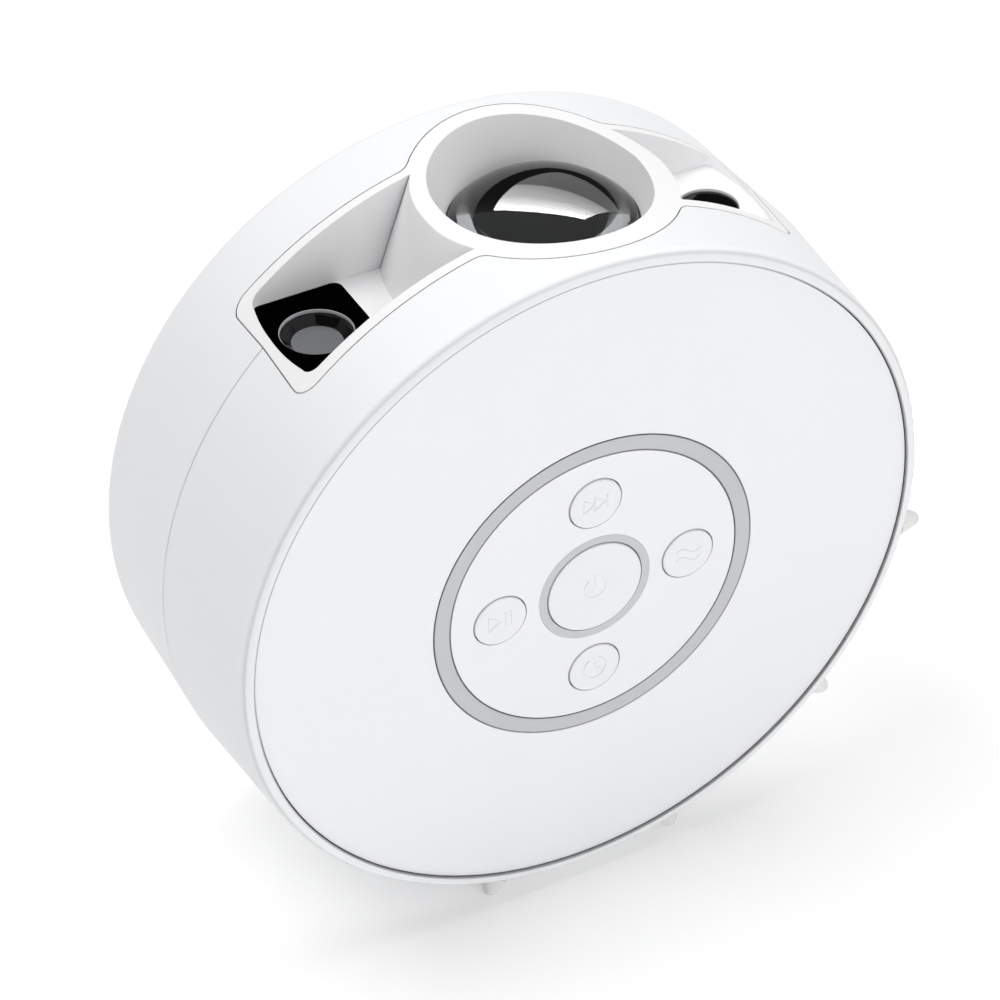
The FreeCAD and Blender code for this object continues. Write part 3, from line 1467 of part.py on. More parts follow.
# radius, place from the board's middle and height of each
CANS = {
    "input capacitor": (3.2, -18, -3, 8.0),
    "lamp capacitor": (3.2, -18, -11, 8.0),
    "motor capacitor": (2.5, 19, -8, 6.0),
    "coil": (4.0, 10, -10, 4.5),
}
board_components = piece("board_components", z=(s.main_board_foot + s.main_board_top) / 2)
for left, right, foot, top, height in BLOCKS.values():
    block_front = s.main_board_front - height
    prism(board_components, "y", block_front, s.main_board_front, [rectangle(left, right, foot, top)])
for radius, x, z, height in CANS.values():
    can_front = s.main_board_front - height
    prism(board_components, "y", can_front, s.main_board_front, circles=[(radius, x, z)])

# power inlet: a flat metal mouth with a tongue, soldered to the back of the main board
power_inlet = piece("power_inlet", z=s.inlet_z)
inlet_end = s.rear_depth - s.inlet_sink
shell_x = s.inlet_width / 2
shell_z = s.inlet_height / 2
mouth_x = shell_x - s.inlet_wall
mouth_z = shell_z - s.inlet_wall
tongue_x = s.inlet_tongue_width / 2
tongue_z = s.inlet_tongue_wall / 2
prism(power_inlet, "y", s.main_board_back, inlet_end, [
    rounded(-shell_x, shell_x, -shell_z, shell_z, s.inlet_corner)
])
prism(
    power_inlet, "y", s.main_board_back + s.inlet_floor, inlet_end,
    [rounded(-mouth_x, mouth_x, -mouth_z, mouth_z, s.inlet_corner - s.inlet_wall)], cut=True,
)
prism(
    power_inlet, "y", s.main_board_back, inlet_end - s.inlet_sink,
    [rectangle(-tongue_x, tongue_x, -tongue_z, tongue_z)],
)

# ---------------------------------------------------------------- screws

# the shells are pulled together from the back
CAP = (s.screw_head_radius, s.screw_head_height, s.screw_radius)
case_screws = piece("case_screws")
screws(
    case_screws, "y", s.case_well_floor, s.case_well_floor - s.case_screw_length,
    spots_of(CASE_SPOTS), s.case_head_radius, s.case_head_height, s.case_screw_radius,
)

# the panel is held from behind the bulkhead
panel_screws = piece("panel_screws")
screws(panel_screws, "y", -s.bulkhead_back, panel_screw_tip, spots_of(PANEL_SPOTS), *CAP)

# the keypad board is held against the panel's bosses
keypad_screws = piece("keypad_screws")
screws(keypad_screws, "y", -s.board_back, keypad_screw_tip, spots_of(KEYPAD_SPOTS), *CAP)

# the barrel, the motor, the heatsink, the frame and the laser's bracket
optics_screws = piece("optics_screws")
screws(
    optics_screws, "z", flange_top, flange_top - s.screw_length,
    [(s.lens_x + x, y) for x, y in post_spots], *CAP,
)
screws(
    optics_screws, "z", s.base_top, s.base_top - s.screw_length,
    [(s.lens_x + x, y) for x, y in motor_spots], *CAP,
)
screws(
    optics_screws, "z", s.tube_foot + s.base_wall, sink_foot + s.pilot_spare,
    [(s.lens_x + x, y) for x, y in sink_spots], *CAP,
)
screws(optics_screws, "y", s.leg_front, s.leg_front + s.screw_length, LEG_SPOTS + EAR_SPOTS, *CAP)

# the main board and the receiver's board
board_screws = piece("board_screws")
board_screw_tip = s.main_board_front + s.screw_length - s.pilot_spare
screws(board_screws, "y", s.main_board_front, board_screw_tip, BOARD_SPOTS, *CAP)
receiver_screw_seat = receiver_seat - s.board_wall
screws(
    board_screws, "z", receiver_screw_seat, receiver_screw_seat + s.screw_length,
    receiver_spots, *CAP,
)

# ---------------------------------------------------------------- checks and files

doc.recompute()
for thing in doc.Objects:
    if "Invalid" in thing.State or "Error" in thing.State:
        raise RuntimeError(f"{thing.Label} did not recompute: {thing.State}")

os.makedirs("parts", exist_ok=True)
for body in PIECES:
    if body.Shape.isNull() or not body.Shape.isValid() or not body.Shape.Solids:
        raise RuntimeError(f"{body.Label} has no sound shape")
    body.Shape.exportStep(f"parts/{body.Label}.step")
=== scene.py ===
import bmesh
import bpy
import math
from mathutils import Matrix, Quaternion, Vector


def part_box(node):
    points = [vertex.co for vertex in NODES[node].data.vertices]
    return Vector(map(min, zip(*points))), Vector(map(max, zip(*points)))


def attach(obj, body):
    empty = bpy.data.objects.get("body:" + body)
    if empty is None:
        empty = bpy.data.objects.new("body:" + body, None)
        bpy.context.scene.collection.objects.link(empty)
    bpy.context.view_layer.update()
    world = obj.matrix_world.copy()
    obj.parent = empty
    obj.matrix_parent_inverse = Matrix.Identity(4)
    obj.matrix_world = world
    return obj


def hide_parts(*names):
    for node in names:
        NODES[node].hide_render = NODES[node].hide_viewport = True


# A white star projector: a drum that stands on its edge on soft feet, with a domed lens and a laser in the
# trim on its top and a keypad in the middle of its front. Lengths are in metres where nothing else is said.

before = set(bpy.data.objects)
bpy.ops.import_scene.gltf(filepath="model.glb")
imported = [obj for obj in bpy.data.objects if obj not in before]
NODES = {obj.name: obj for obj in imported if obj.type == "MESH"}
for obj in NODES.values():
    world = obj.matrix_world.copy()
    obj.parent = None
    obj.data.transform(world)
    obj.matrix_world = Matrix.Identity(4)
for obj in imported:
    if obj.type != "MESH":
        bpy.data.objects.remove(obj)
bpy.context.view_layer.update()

# ---------------------------------------------------------------- camera
# A long lens looks down on the drum from its front left, so the front, the left side and the trim on the top
# all show. It stands well back, so the round front keeps the shape of an even oval.

camera_data = bpy.data.cameras.new("camera")
camera_data.lens = 131.578
camera_data.sensor_width = 36
camera_data.clip_start = 0.05
camera = bpy.data.objects.new("camera", camera_data)
camera.location = (-0.286087, -0.534628, 0.577225)
camera.rotation_euler = [math.radians(angle) for angle in (50.8237, 0.5475, -28.2236)]
bpy.context.scene.collection.objects.link(camera)
bpy.context.scene.camera = camera

# ---------------------------------------------------------------- studio
# The drum stands on a sheet of white acrylic that is lit from below, under a white tent and large soft
# lamps. That gives a plain white ground on which only the shade close to the drum shows.


def linear(colour):
    """An sRGB colour such as "#F2F3F4" as linear red, green, blue and alpha."""
    parts = [int(colour[place:place + 2], 16) / 255 for place in (1, 3, 5)]
    return [part / 12.92 if part <= 0.04045 else ((part + 0.055) / 1.055) ** 2.4 for part in parts] + [1]


def add(tree, kind, inputs=(), **settings):
    """Add one node. An input is named, or numbered from 0, and is a value or the socket that feeds it."""
    node = tree.nodes.new("ShaderNode" + kind)
    for name, value in settings.items():
        setattr(node, name, value)
    for name, value in dict(inputs).items():
        if isinstance(value, bpy.types.NodeSocket):
            tree.links.new(value, node.inputs[name])
        else:
            node.inputs[name].default_value = value
    return node


def blank_material(name):
    """A new material and its node tree, which is empty."""
    material = bpy.data.materials.new(name)
    material.use_nodes = True
    material.node_tree.nodes.clear()
    return material, material.node_tree


def dress(material, *pieces):
    """Give pieces one material."""
    for piece in pieces:
        piece.data.materials.clear()
        piece.data.materials.append(material)


def mesh_object(name, points, faces):
    """A smooth-shaded piece from its points and the faces that join them."""
    mesh = bpy.data.meshes.new(name)
    mesh.from_pydata(points, [], faces)
    mesh.validate()
    mesh.shade_smooth()
    made = bpy.data.objects.new(name, mesh)
    bpy.context.scene.collection.objects.link(made)
    return made


# White cloth lights the drum only a little, and looks plain white where it is seen itself.
TENT_GLOW = 0.04
bpy.context.scene.view_settings.view_transform = "Standard"
world = bpy.data.worlds.new("tent")
world.use_nodes = True
tree = world.node_tree
tree.nodes.clear()
seen = add(tree, "LightPath").outputs["Is Camera Ray"]
brightness = add(tree, "MapRange", {"Value": seen, "To Min": TENT_GLOW, "To Max": 1.0})
tent = add(tree, "Background", {"Color": linear("#FFFFFF"), "Strength": brightness.outputs["Result"]})
add(tree, "OutputWorld", {"Surface": tent.outputs["Background"]})
bpy.context.scene.world = world

# Opal acrylic with a matt face has a soft shade and no mirror image. It is lit more strongly away from the
# drum, so it meets the tent with no visible edge.
FLOOR_REACH = 30.0
DIM_WITHIN = 1.1
BRIGHT_BEYOND = 2.8
DIM_GLOW = 0.20
floor = mesh_object("floor", [
    (-FLOOR_REACH, -FLOOR_REACH, 0), (FLOOR_REACH, -FLOOR_REACH, 0),
    (FLOOR_REACH, FLOOR_REACH, 0), (-FLOOR_REACH, FLOOR_REACH, 0),
], [(0, 1, 2, 3)])
floor_white, tree = blank_material("lit_white_acrylic")
place = add(tree, "TexCoord").outputs["Object"]
reach = add(tree, "VectorMath", {0: place}, operation="LENGTH").outputs["Value"]
from_below = add(tree, "MapRange", {
    "Value": reach, "From Min": DIM_WITHIN, "From Max": BRIGHT_BEYOND, "To Min": DIM_GLOW, "To Max": 1.0,
}, interpolation_type="SMOOTHSTEP")
floor_shader = add(tree, "BsdfPrincipled", {
    "Base Color": linear("#F4F4F4"), "Roughness": 0.6, "Specular IOR Level": 0.2,
    "Emission Color": linear("#FFFFFF"), "Emission Strength": from_below.outputs["Result"],
})
add(tree, "OutputMaterial", {"Surface": floor_shader.outputs["BSDF"]})
dress(floor_white, floor)


def light_group(name, pieces, state):
    """A group for lamps that light only these pieces (INCLUDE) or all but these (EXCLUDE)."""
    group = bpy.data.collections.new(name)
    for piece in pieces:
        group.objects.link(piece)
    for entry in group.collection_objects:
        entry.light_linking.link_state = state
    return group


def soft_lamp(name, place, aim, width, height, power, group, roll=0.0):
    """A rectangular softbox that faces a point. It isn't seen through glass, only mirrored on its outside."""
    lamp_data = bpy.data.lights.new(name, "AREA")
    lamp_data.shape = "RECTANGLE"
    lamp_data.size = width
    lamp_data.size_y = height
    lamp_data.energy = power
    lamp = bpy.data.objects.new(name, lamp_data)
    bpy.context.scene.collection.objects.link(lamp)
    lamp.location = place
    facing = (Vector(aim) - Vector(place)).to_track_quat("-Z", "Y")
    lamp.rotation_euler = (facing @ Quaternion((0, 0, 1), roll)).to_euler()
    lamp.visible_transmission = False
    lamp.light_linking.receiver_collection = group
    return lamp


# The softboxes stand on a sphere round the drum's middle. Each has its turn from straight behind the drum and
# its rise above level, in degrees, and its power in watts.
DRUM_CENTRE = (0, 0, 0.083609)
BOX_WIDTH = 1.2
BOX_DISTANCE = 1.8
CLEAR_PARTS = [NODES[name] for name in ("projection_lens", "condenser_lens", "ripple_plate", "ripple_glass")]
plastics = light_group("all_but_glass", CLEAR_PARTS, "EXCLUDE")
for name, turn, rise, power in (
    ("high_left", -60, 65, 15.2),
    ("high_right", 60, 65, 8.8),
    ("back", 0, 45, 2.8),
    ("back_left", -45, 45, 4.6),
    ("right", 90, 45, 8.1),
    ("front", 180, 40, 6.3),
    ("low_front", 180, 15, 8.9),
):
    around = math.radians(turn)
    above = math.radians(rise)
    box_place = (
        BOX_DISTANCE * math.sin(around) * math.cos(above),
        BOX_DISTANCE * math.cos(around) * math.cos(above),
        DRUM_CENTRE[2] + BOX_DISTANCE * math.sin(above),
    )
    soft_lamp(name + "_softbox", box_place, DRUM_CENTRE, BOX_WIDTH, BOX_WIDTH, power, plastics)

# One softbox behind and to the right is mirrored in the lens alone. Its upper edge is bowed and brightest,
# and one side leans inwards, so the lens shows a bright patch that fades towards the back.
LENS_PLACE = (0.0062, 0, 0.163)
LENS_BOX_PLACE = (0.402, 0.6475, 0.8529)
LENS_BOX_WIDTH = 1.475
LENS_BOX_HEIGHT = 1.18
LENS_BOX_POWER = 165
LENS_BOX_ROLL = math.radians(-15.7)
BOW = 0.24
LEAN = 0.44
lens_group = light_group("lens_only", [NODES["projection_lens"]], "INCLUDE")
lens_lamp = soft_lamp(
    "lens_softbox", LENS_BOX_PLACE, LENS_PLACE, LENS_BOX_WIDTH, LENS_BOX_HEIGHT, LENS_BOX_POWER, lens_group,
    roll=LENS_BOX_ROLL,
)
lens_lamp.data.use_nodes = True
tree = lens_lamp.data.node_tree
tree.nodes.clear()
on_sheet = add(tree, "SeparateXYZ", {"Vector": add(tree, "NewGeometry").outputs["Parametric"]})
across = on_sheet.outputs["X"]
up = on_sheet.outputs["Y"]
from_middle = add(tree, "Math", {0: across, 1: 2.0, 2: -1.0}, operation="MULTIPLY_ADD").outputs["Value"]
squared = add(tree, "Math", {0: from_middle, 1: from_middle}, operation="MULTIPLY").outputs["Value"]
bowed = add(tree, "Math", {0: squared, 1: BOW, 2: up}, operation="MULTIPLY_ADD").outputs["Value"]
leaned = add(tree, "Math", {0: up, 1: LEAN, 2: 1 - LEAN}, operation="MULTIPLY_ADD").outputs["Value"]
below_bow = add(tree, "Math", {0: bowed, 1: 1.0}, operation="LESS_THAN").outputs["Value"]
inside_lean = add(tree, "Math", {0: across, 1: leaned}, operation="LESS_THAN").outputs["Value"]
shape = add(tree, "Math", {0: below_bow, 1: inside_lean}, operation="MULTIPLY").outputs["Value"]
fade = add(tree, "ValToRGB", {"Fac": bowed})
ramp = fade.color_ramp.elements
ramp[0].color = (0.03, 0.03, 0.03, 1)
ramp[1].color = (1, 1, 1, 1)
for height, level in ((0.45, 0.05), (0.47, 0.13), (0.7, 0.26), (0.86, 0.55)):
    ramp.new(height).color = (level, level, level, 1)
glow = add(tree, "Math", {0: fade.outputs["Color"], 1: shape}, operation="MULTIPLY").outputs["Value"]
lit_sheet = add(tree, "Emission", {"Strength": glow})
add(tree, "OutputLight", {"Surface": lit_sheet.outputs["Emission"]})

# ---------------------------------------------------------------- drum
# The drum is two cups of white ABS that meet on a parting line and are held by six screws from the back.
# They are injection moulded in a tool with a fine spark-eroded finish.

MM = 0.001
TINT_DRIFT = 30.0 * MM  # the tint of a moulding drifts slowly, over about this length
GAP_REACH = 0.8 * MM  # how far round it a gap looks for light
GAP_PAINTED_SHADE = "#2A2B2C"


def moulded_plastic(
    name, colour, shade, roughness, grain, grain_depth,
    edge=0.25, subsurface=0.0, reflection=0.5, gap_shade=0.0,
):
    """Moulded plastic. The grain, its depth and the rounding of the edges are in millimetres. Where a gap or
    corner sees less than the gap_shade share of its surroundings, shade is painted into its colour, because
    its floor gets no light."""
    material, tree = blank_material(name)
    place = add(tree, "TexCoord").outputs["Object"]
    drift = add(tree, "TexNoise", {"Vector": place, "Scale": 1 / TINT_DRIFT, "Detail": 2.0})
    tint = add(tree, "Mix", {
        "Factor": drift.outputs["Fac"], "A": linear(colour), "B": linear(shade),
    }, data_type="RGBA")
    paint = tint.outputs["Result"]
    # Painted shade: gaps and tight corners that see little of their surroundings are mixed towards dark grey.
    if gap_shade:
        open_share = add(tree, "AmbientOcclusion", {"Distance": GAP_REACH}, samples=8)
        depth = add(tree, "MapRange", {
            "Value": open_share.outputs["AO"], "From Min": gap_shade / 4, "From Max": gap_shade,
        })
        shaded = add(tree, "Mix", {
            "Factor": depth.outputs["Result"], "A": linear(GAP_PAINTED_SHADE), "B": paint,
        }, data_type="RGBA")
        paint = shaded.outputs["Result"]
    speckle = add(tree, "TexNoise", {
        "Vector": place, "Scale": 1 / (grain * MM), "Detail": 3.0, "Roughness": 0.6,
    })
    gloss = add(tree, "MapRange", {
        "Value": speckle.outputs["Fac"], "From Min": 0.3, "From Max": 0.7,
        "To Min": roughness - 0.05, "To Max": roughness + 0.05,
    })
    corner = add(tree, "Bevel", {"Radius": edge * MM}, samples=4)
    relief = add(tree, "Bump", {
        "Height": speckle.outputs["Fac"], "Distance": grain_depth * MM, "Strength": 0.5,
        "Normal": corner.outputs["Normal"],
    })
    shader = add(tree, "BsdfPrincipled", {
        "Base Color": paint, "Roughness": gloss.outputs["Result"], "IOR": 1.53,
        "Normal": relief.outputs["Normal"], "Subsurface Weight": subsurface, "Subsurface Scale": 1.0 * MM,
        "Specular IOR Level": reflection,
    })
    add(tree, "OutputMaterial", {"Surface": shader.outputs["BSDF"]})
    return material


# ABS from an eroded tool is satin: it spreads the light into broad soft tones and mirrors nothing. Its grit
# of 0.05 mm is too fine to show here, so it is drawn four times as coarse, and the grain of the other
# plastics is drawn coarse in the same way.
# Shade is painted into the gaps of the shells, such as the parting line.
satin_abs = moulded_plastic(
    "satin_white_abs", "#F1F2F4", "#EFF0F2", 0.5, 0.2, 0.01, reflection=0.35, gap_shade=0.85,
)
dress(satin_abs, NODES["front_shell"], NODES["rear_shell"])


def round_shade_lines(material, front, lines):
    """Paint soft lines of shade round the drum's axis on what lies in front of a depth. A line is its radius,
    half its width, its strength and its colour. Lengths are in millimetres."""
    tree = material.node_tree
    shader = next(node for node in tree.nodes if node.type == "BSDF_PRINCIPLED")
    parts = add(tree, "SeparateXYZ", {"Vector": add(tree, "TexCoord").outputs["Object"]})
    right, back, height = parts.outputs
    up = add(tree, "Math", {0: height, 1: DRUM_CENTRE[2]}, operation="SUBTRACT").outputs["Value"]
    from_axis = add(tree, "CombineXYZ", {"X": right, "Z": up}).outputs["Vector"]
    radius = add(tree, "VectorMath", {0: from_axis}, operation="LENGTH").outputs["Value"]
    in_front = add(tree, "Math", {0: back, 1: front * MM}, operation="LESS_THAN").outputs["Value"]
    for line_radius, half_width, strength, colour in lines:
        off = add(tree, "Math", {0: radius, 1: line_radius * MM}, operation="SUBTRACT").outputs["Value"]
        distance = add(tree, "Math", {0: off}, operation="ABSOLUTE").outputs["Value"]
        soft = add(tree, "MapRange", {
            "Value": distance, "From Max": half_width * MM, "To Min": strength, "To Max": 0.0,
        }).outputs["Result"]
        share = add(tree, "Math", {0: soft, 1: in_front}, operation="MULTIPLY").outputs["Value"]
        paint = shader.inputs["Base Color"].links[0].from_socket
        drawn = add(tree, "Mix", {"Factor": share, "A": paint, "B": linear(colour)}, data_type="RGBA")
        tree.links.new(drawn.outputs["Result"], shader.inputs["Base Color"])


# The front rim is rolled. Fine grey lines of painted shade mark the crease round the roll and the rim's inner
# edge, where the light falls off.
RIM_FRONT = -31.2
RIM_PAINTED_SHADE = "#77787A"
round_shade_lines(satin_abs, RIM_FRONT, [(79.62, 0.5, 0.30, RIM_PAINTED_SHADE), (77.5, 0.35, 0.75, RIM_PAINTED_SHADE)])

# ---------------------------------------------------------------- feet
# Eight soft cones of white silicone rubber carry the drum, four at the front and four at the back. Each is
# moulded in one piece and pushed by its stem into a hole in the drum.

# Silicone lets some light in, so the cones look matt and a little milky.
silicone = moulded_plastic("white_silicone", "#E9E9E7", "#E4E4E2", 0.6, 0.4, 0.01, edge=0.4, subsurface=0.2)
dress(silicone, NODES["front_feet"], NODES["rear_feet"])

# ---------------------------------------------------------------- front panel
# The front is closed by a slightly domed round sheet of white ABS that lies inside the front rim. It is
# moulded in a smoother tool than the drum and screwed on from inside.

# The smoother face has a little more gloss than the drum, and looks a shade brighter and quite even.
panel_abs = moulded_plastic("smooth_white_abs", "#F3F4F6", "#F1F2F4", 0.36, 0.2, 0.006)
dress(panel_abs, NODES["face_panel"])

# ---------------------------------------------------------------- light ring
# A ring of milky polycarbonate lies round the keypad, and the small lamps behind it light it up. It is
# moulded in one piece with a fine frost on its face.

# Milky plastic lets light in a little way. Unlit it looks pale grey and soft, with no shine.
milky = moulded_plastic(
    "milky_polycarbonate", "#C9CBCD", "#C3C5C8", 0.5, 0.35, 0.02, edge=0.2, subsurface=0.1,
)
dress(milky, NODES["light_ring"])

# Both edges of the ring get a fine dark line of painted shade, for the shade that falls into the gaps round
# it.
RING_FRONT = -32.9
RING_OUTER = 37.64
RING_INNER = 33.9
EDGE_LINE = 0.32
RING_EDGE_SHADE = "#333436"
round_shade_lines(milky, RING_FRONT, [(radius, EDGE_LINE, 1.0, RING_EDGE_SHADE) for radius in (RING_OUTER, RING_INNER)])

# ---------------------------------------------------------------- keypad
# A round white plate of ABS carries five keys that slide in it. The large one switches the projector on, and
# a flat ring of grey ABS lies in a step round it.

dress(panel_abs, NODES["keypad_plate"])

# The ring is moulded in ABS dyed through, so it is a plain even grey with a dull shine.
ring_abs = moulded_plastic("grey_ring_abs", "#CCCED0", "#C8CACC", 0.45, 0.3, 0.01, edge=0.1)
dress(ring_abs, NODES["power_ring"])

# The keys are moulded in the same smooth white ABS, so they match the plate and only their gaps show.
KEYS = ("power", "play", "next", "mode", "timer")
key_abs = moulded_plastic("key_white_abs", "#F1F2F4", "#EFF0F2", 0.34, 0.2, 0.006)
dress(key_abs, *[NODES[name + "_button"] for name in KEYS])

# Each key carries a sign that is moulded on its face as thin rounded ridges.
RIDGE_RADIUS = 0.19 * MM
RIDGE_SINK = 0.05 * MM


def arc(radius, start, end, steps=24):
    """Points of an arc round a key's middle, in millimetres and degrees."""
    angles = [math.radians(start + (end - start) * step / steps) for step in range(steps + 1)]
    return [(radius * math.cos(angle), radius * math.sin(angle)) for angle in angles]


def upright(across, half_height):
    """An upright stroke."""
    return [(across, -half_height), (across, half_height)]


def arrowhead(left, right, half_height):
    """The outline of a triangle that points to the right."""
    return [(left, -half_height), (left, half_height), (right, 0), (left, -half_height)]


def wave(height, reach=3.0, rise=0.8, steps=24):
    """One full wave from left to right."""
    return [
        (-reach + 2 * reach * step / steps, height + rise * math.sin(2 * math.pi * step / steps))
        for step in range(steps + 1)
    ]


def key_sign(key, strokes):
    """Ridges on a key's face. A stroke is a list of (right, up) points from its middle, in millimetres."""
    low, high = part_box(key + "_button")
    middle_x = (low.x + high.x) / 2
    middle_z = (low.z + high.z) / 2
    curve = bpy.data.curves.new(key + "_sign", "CURVE")
    curve.dimensions = "3D"
    curve.bevel_depth = RIDGE_RADIUS
    curve.bevel_resolution = 3
    curve.use_fill_caps = True
    for stroke in strokes:
        spline = curve.splines.new("POLY")
        spline.points.add(len(stroke) - 1)
        for point, (right, up) in zip(spline.points, stroke):
            point.co = (middle_x + right * MM, low.y + RIDGE_SINK, middle_z + up * MM, 1)
    sign = bpy.data.objects.new(key + "_sign", curve)
    bpy.context.scene.collection.objects.link(sign)
    dress(key_abs, sign)
    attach(sign, key + "_key")


key_sign("power", [arc(2.6, 125, 415), [(0, 0.6), (0, 3.3)]])
key_sign("play", [arrowhead(-2.8, 0.1, 1.9), upright(1.2, 1.9), upright(2.5, 1.9)])
key_sign("next", [arrowhead(-2.8, -0.4, 1.7), arrowhead(-0.2, 2.2, 1.7), upright(2.7, 1.7)])
key_sign("mode", [wave(-1.3), wave(0.9)])
key_sign("timer", [arc(2.7, 120, 435), [(0, 1.5), (0, 0), (1.2, -0.7)]])

# ---------------------------------------------------------------- top trim
# The trim is one moulding of white ABS, with the flared lens well in its middle and a pocket on each side.
# It springs into the drum on four hooks.

# The trim is matt, so the walls of the well and the pockets show soft shade and no bright streaks. Its gaps
# and tight corners also get painted shade.
trim_abs = moulded_plastic(
    "trim_white_abs", "#F4F4F5", "#F2F2F3", 0.55, 0.2, 0.008, reflection=0.2, gap_shade=0.5,
)
dress(trim_abs, NODES["lens_bezel"])

# ---------------------------------------------------------------- laser port
# A black plate lies on the floor of the left pocket. A moulded cup sits under its round hole, and the laser
# shines out through a small window at the bottom of the cup.

# Flock paper swallows stray light, so the plate mirrors nothing and looks like a hole from any side.
flock_black = moulded_plastic(
    "flocked_black_paper", "#010101", "#020202", 0.8, 0.2, 0.02, reflection=0.0,
)
dress(flock_black, NODES["laser_panel"])

# Smooth dark polycarbonate shows the cup's slope and step as thin dim lights.
cup_black = moulded_plastic(
    "dark_cup_polycarbonate", "#0A0A0B", "#080809", 0.2, 0.4, 0.001, edge=0.15, reflection=0.25,
)
dress(cup_black, NODES["laser_nose"])

# Smoked acrylic is flat and shiny, so the window looks like a grey disc in the dark.
window_grey = moulded_plastic("smoked_window_acrylic", "#6A6B6E", "#626367", 0.08, 0.4, 0.0005, edge=0.1)
dress(window_grey, NODES["laser_window"])

CORNER_ANGLE = math.radians(35)


def lathe(name, profile, middle_x, steps=96):
    """A smooth piece turned about an upright line, with sharp corners. The profile is a closed loop of
    (radius, height) in millimetres."""
    points = []
    for step in range(steps):
        angle = 2 * math.pi * step / steps
        points += [
            (middle_x + radius * MM * math.cos(angle), radius * MM * math.sin(angle), height * MM)
            for radius, height in profile
        ]
    rows = len(profile)
    faces = []
    for step in range(steps):
        here = step * rows
        there = (step + 1) % steps * rows
        for row in range(rows):
            above = (row + 1) % rows
            faces.append((here + row, there + row, there + above, here + above))
    piece = mesh_object(name, points, faces)
    mesh = bmesh.new()
    mesh.from_mesh(piece.data)
    bmesh.ops.remove_doubles(mesh, verts=mesh.verts, dist=0.0001 * MM)
    bmesh.ops.recalc_face_normals(mesh, faces=mesh.faces)
    mesh.to_mesh(piece.data)
    mesh.free()
    corners = piece.modifiers.new("corners", "EDGE_SPLIT")
    corners.split_angle = CORNER_ANGLE
    return piece


# A thin collar lines the plate's hole. It is smooth pale grey ABS, so its top catches the light as a fine
# bright ring.
COLLAR_PROFILE = [(7.5, 143.33), (7.69, 143.33), (7.69, 144.05), (7.62, 144.08), (7.55, 144.04)]
low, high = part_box("laser_nose")
collar = lathe("laser_collar", COLLAR_PROFILE, (low.x + high.x) / 2)
collar_grey = moulded_plastic("pale_grey_abs", "#C6C6CA", "#BEBEC2", 0.25, 0.3, 0.002, edge=0.05)
dress(collar_grey, collar)
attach(collar, "housing")

# ---------------------------------------------------------------- receiver port
# A window of dark acrylic closes the round hole of the right pocket. It is moulded with a flange that holds
# it from below, and the remote control's receiver sits behind it.

# Acrylic dyed for infrared looks black and glossy, with one clear highlight on its flat top.
WINDOW_PROFILE = [
    (0, 140.515), (8.39, 140.515), (8.39, 142.0), (6.44, 142.0), (6.44, 143.3),
    (6.4, 143.41), (6.3, 143.47), (6.1, 143.5), (0, 143.505),
]
window_dark = moulded_plastic("infrared_acrylic", "#040304", "#050405", 0.06, 0.4, 0.0005, edge=0.1)
low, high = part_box("ir_window")
receiver_window = lathe("receiver_window", WINDOW_PROFILE, (low.x + high.x) / 2)
dress(window_dark, receiver_window)
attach(receiver_window, "housing")
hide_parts("ir_window")

# Moulding compound round a chip is a dull charcoal black.
part_black = moulded_plastic("moulding_compound_black", "#1B1B1D", "#171719", 0.5, 0.3, 0.01, edge=0.1)
dress(part_black, NODES["ir_receiver"])

# ---------------------------------------------------------------- lens
# The projection lens is a plano-convex piece of clear optical glass, ground and polished. A thin black tube
# of ABS holds it at the bottom of the well.

# Polished glass is clear and sharply glossy, so it shows the dark inside and one bright softbox.
lens_glass, tree = blank_material("polished_lens_glass")
shader = add(tree, "BsdfPrincipled", {
    "Base Color": linear("#E9ECEE"), "Roughness": 0.0, "IOR": 1.52, "Transmission Weight": 1.0,
})
add(tree, "OutputMaterial", {"Surface": shader.outputs["BSDF"]})
dress(lens_glass, NODES["projection_lens"])

# Matt black plastic keeps stray light down and shows as a dark ring round the glass.
barrel_black = moulded_plastic("matt_black_abs", "#0B0B0C", "#0E0E0F", 0.45, 0.3, 0.01, edge=0.1)
dress(barrel_black, NODES["lens_barrel"])

# ---------------------------------------------------------------- wave glasses
# Two round plates of clear cast acrylic lie under the lens. The upper one is fixed, and the lower one turns
# in a toothed ring that a pinion on a motor's shaft drives, so their light drifts like a cloud.

# The cast waves are about 4 mm across and bend what is seen through the plates.
WAVE_WIDTH = 4.0 * MM
WAVE_DEPTH = 0.6 * MM
wave_acrylic, tree = blank_material("wave_cast_acrylic")
place = add(tree, "TexCoord").outputs["Object"]
waves = add(tree, "TexNoise", {"Vector": place, "Scale": 1 / WAVE_WIDTH, "Detail": 2.0, "Distortion": 1.5})
relief = add(tree, "Bump", {"Height": waves.outputs["Fac"], "Distance": WAVE_DEPTH, "Strength": 1.0})
shader = add(tree, "BsdfPrincipled", {
    "Base Color": linear("#E4EEF4"), "Roughness": 0.02, "IOR": 1.49, "Transmission Weight": 1.0,
    "Normal": relief.outputs["Normal"],
})
add(tree, "OutputMaterial", {"Surface": shader.outputs["BSDF"]})
dress(wave_acrylic, NODES["ripple_plate"], NODES["ripple_glass"])

# Moulded acetal is a warm milky white with a waxy shine.
acetal = moulded_plastic("natural_acetal", "#E6E4DC", "#E0DED6", 0.35, 0.3, 0.005, edge=0.1, subsurface=0.1)
dress(acetal, NODES["ripple_gear"], NODES["ripple_pinion"])


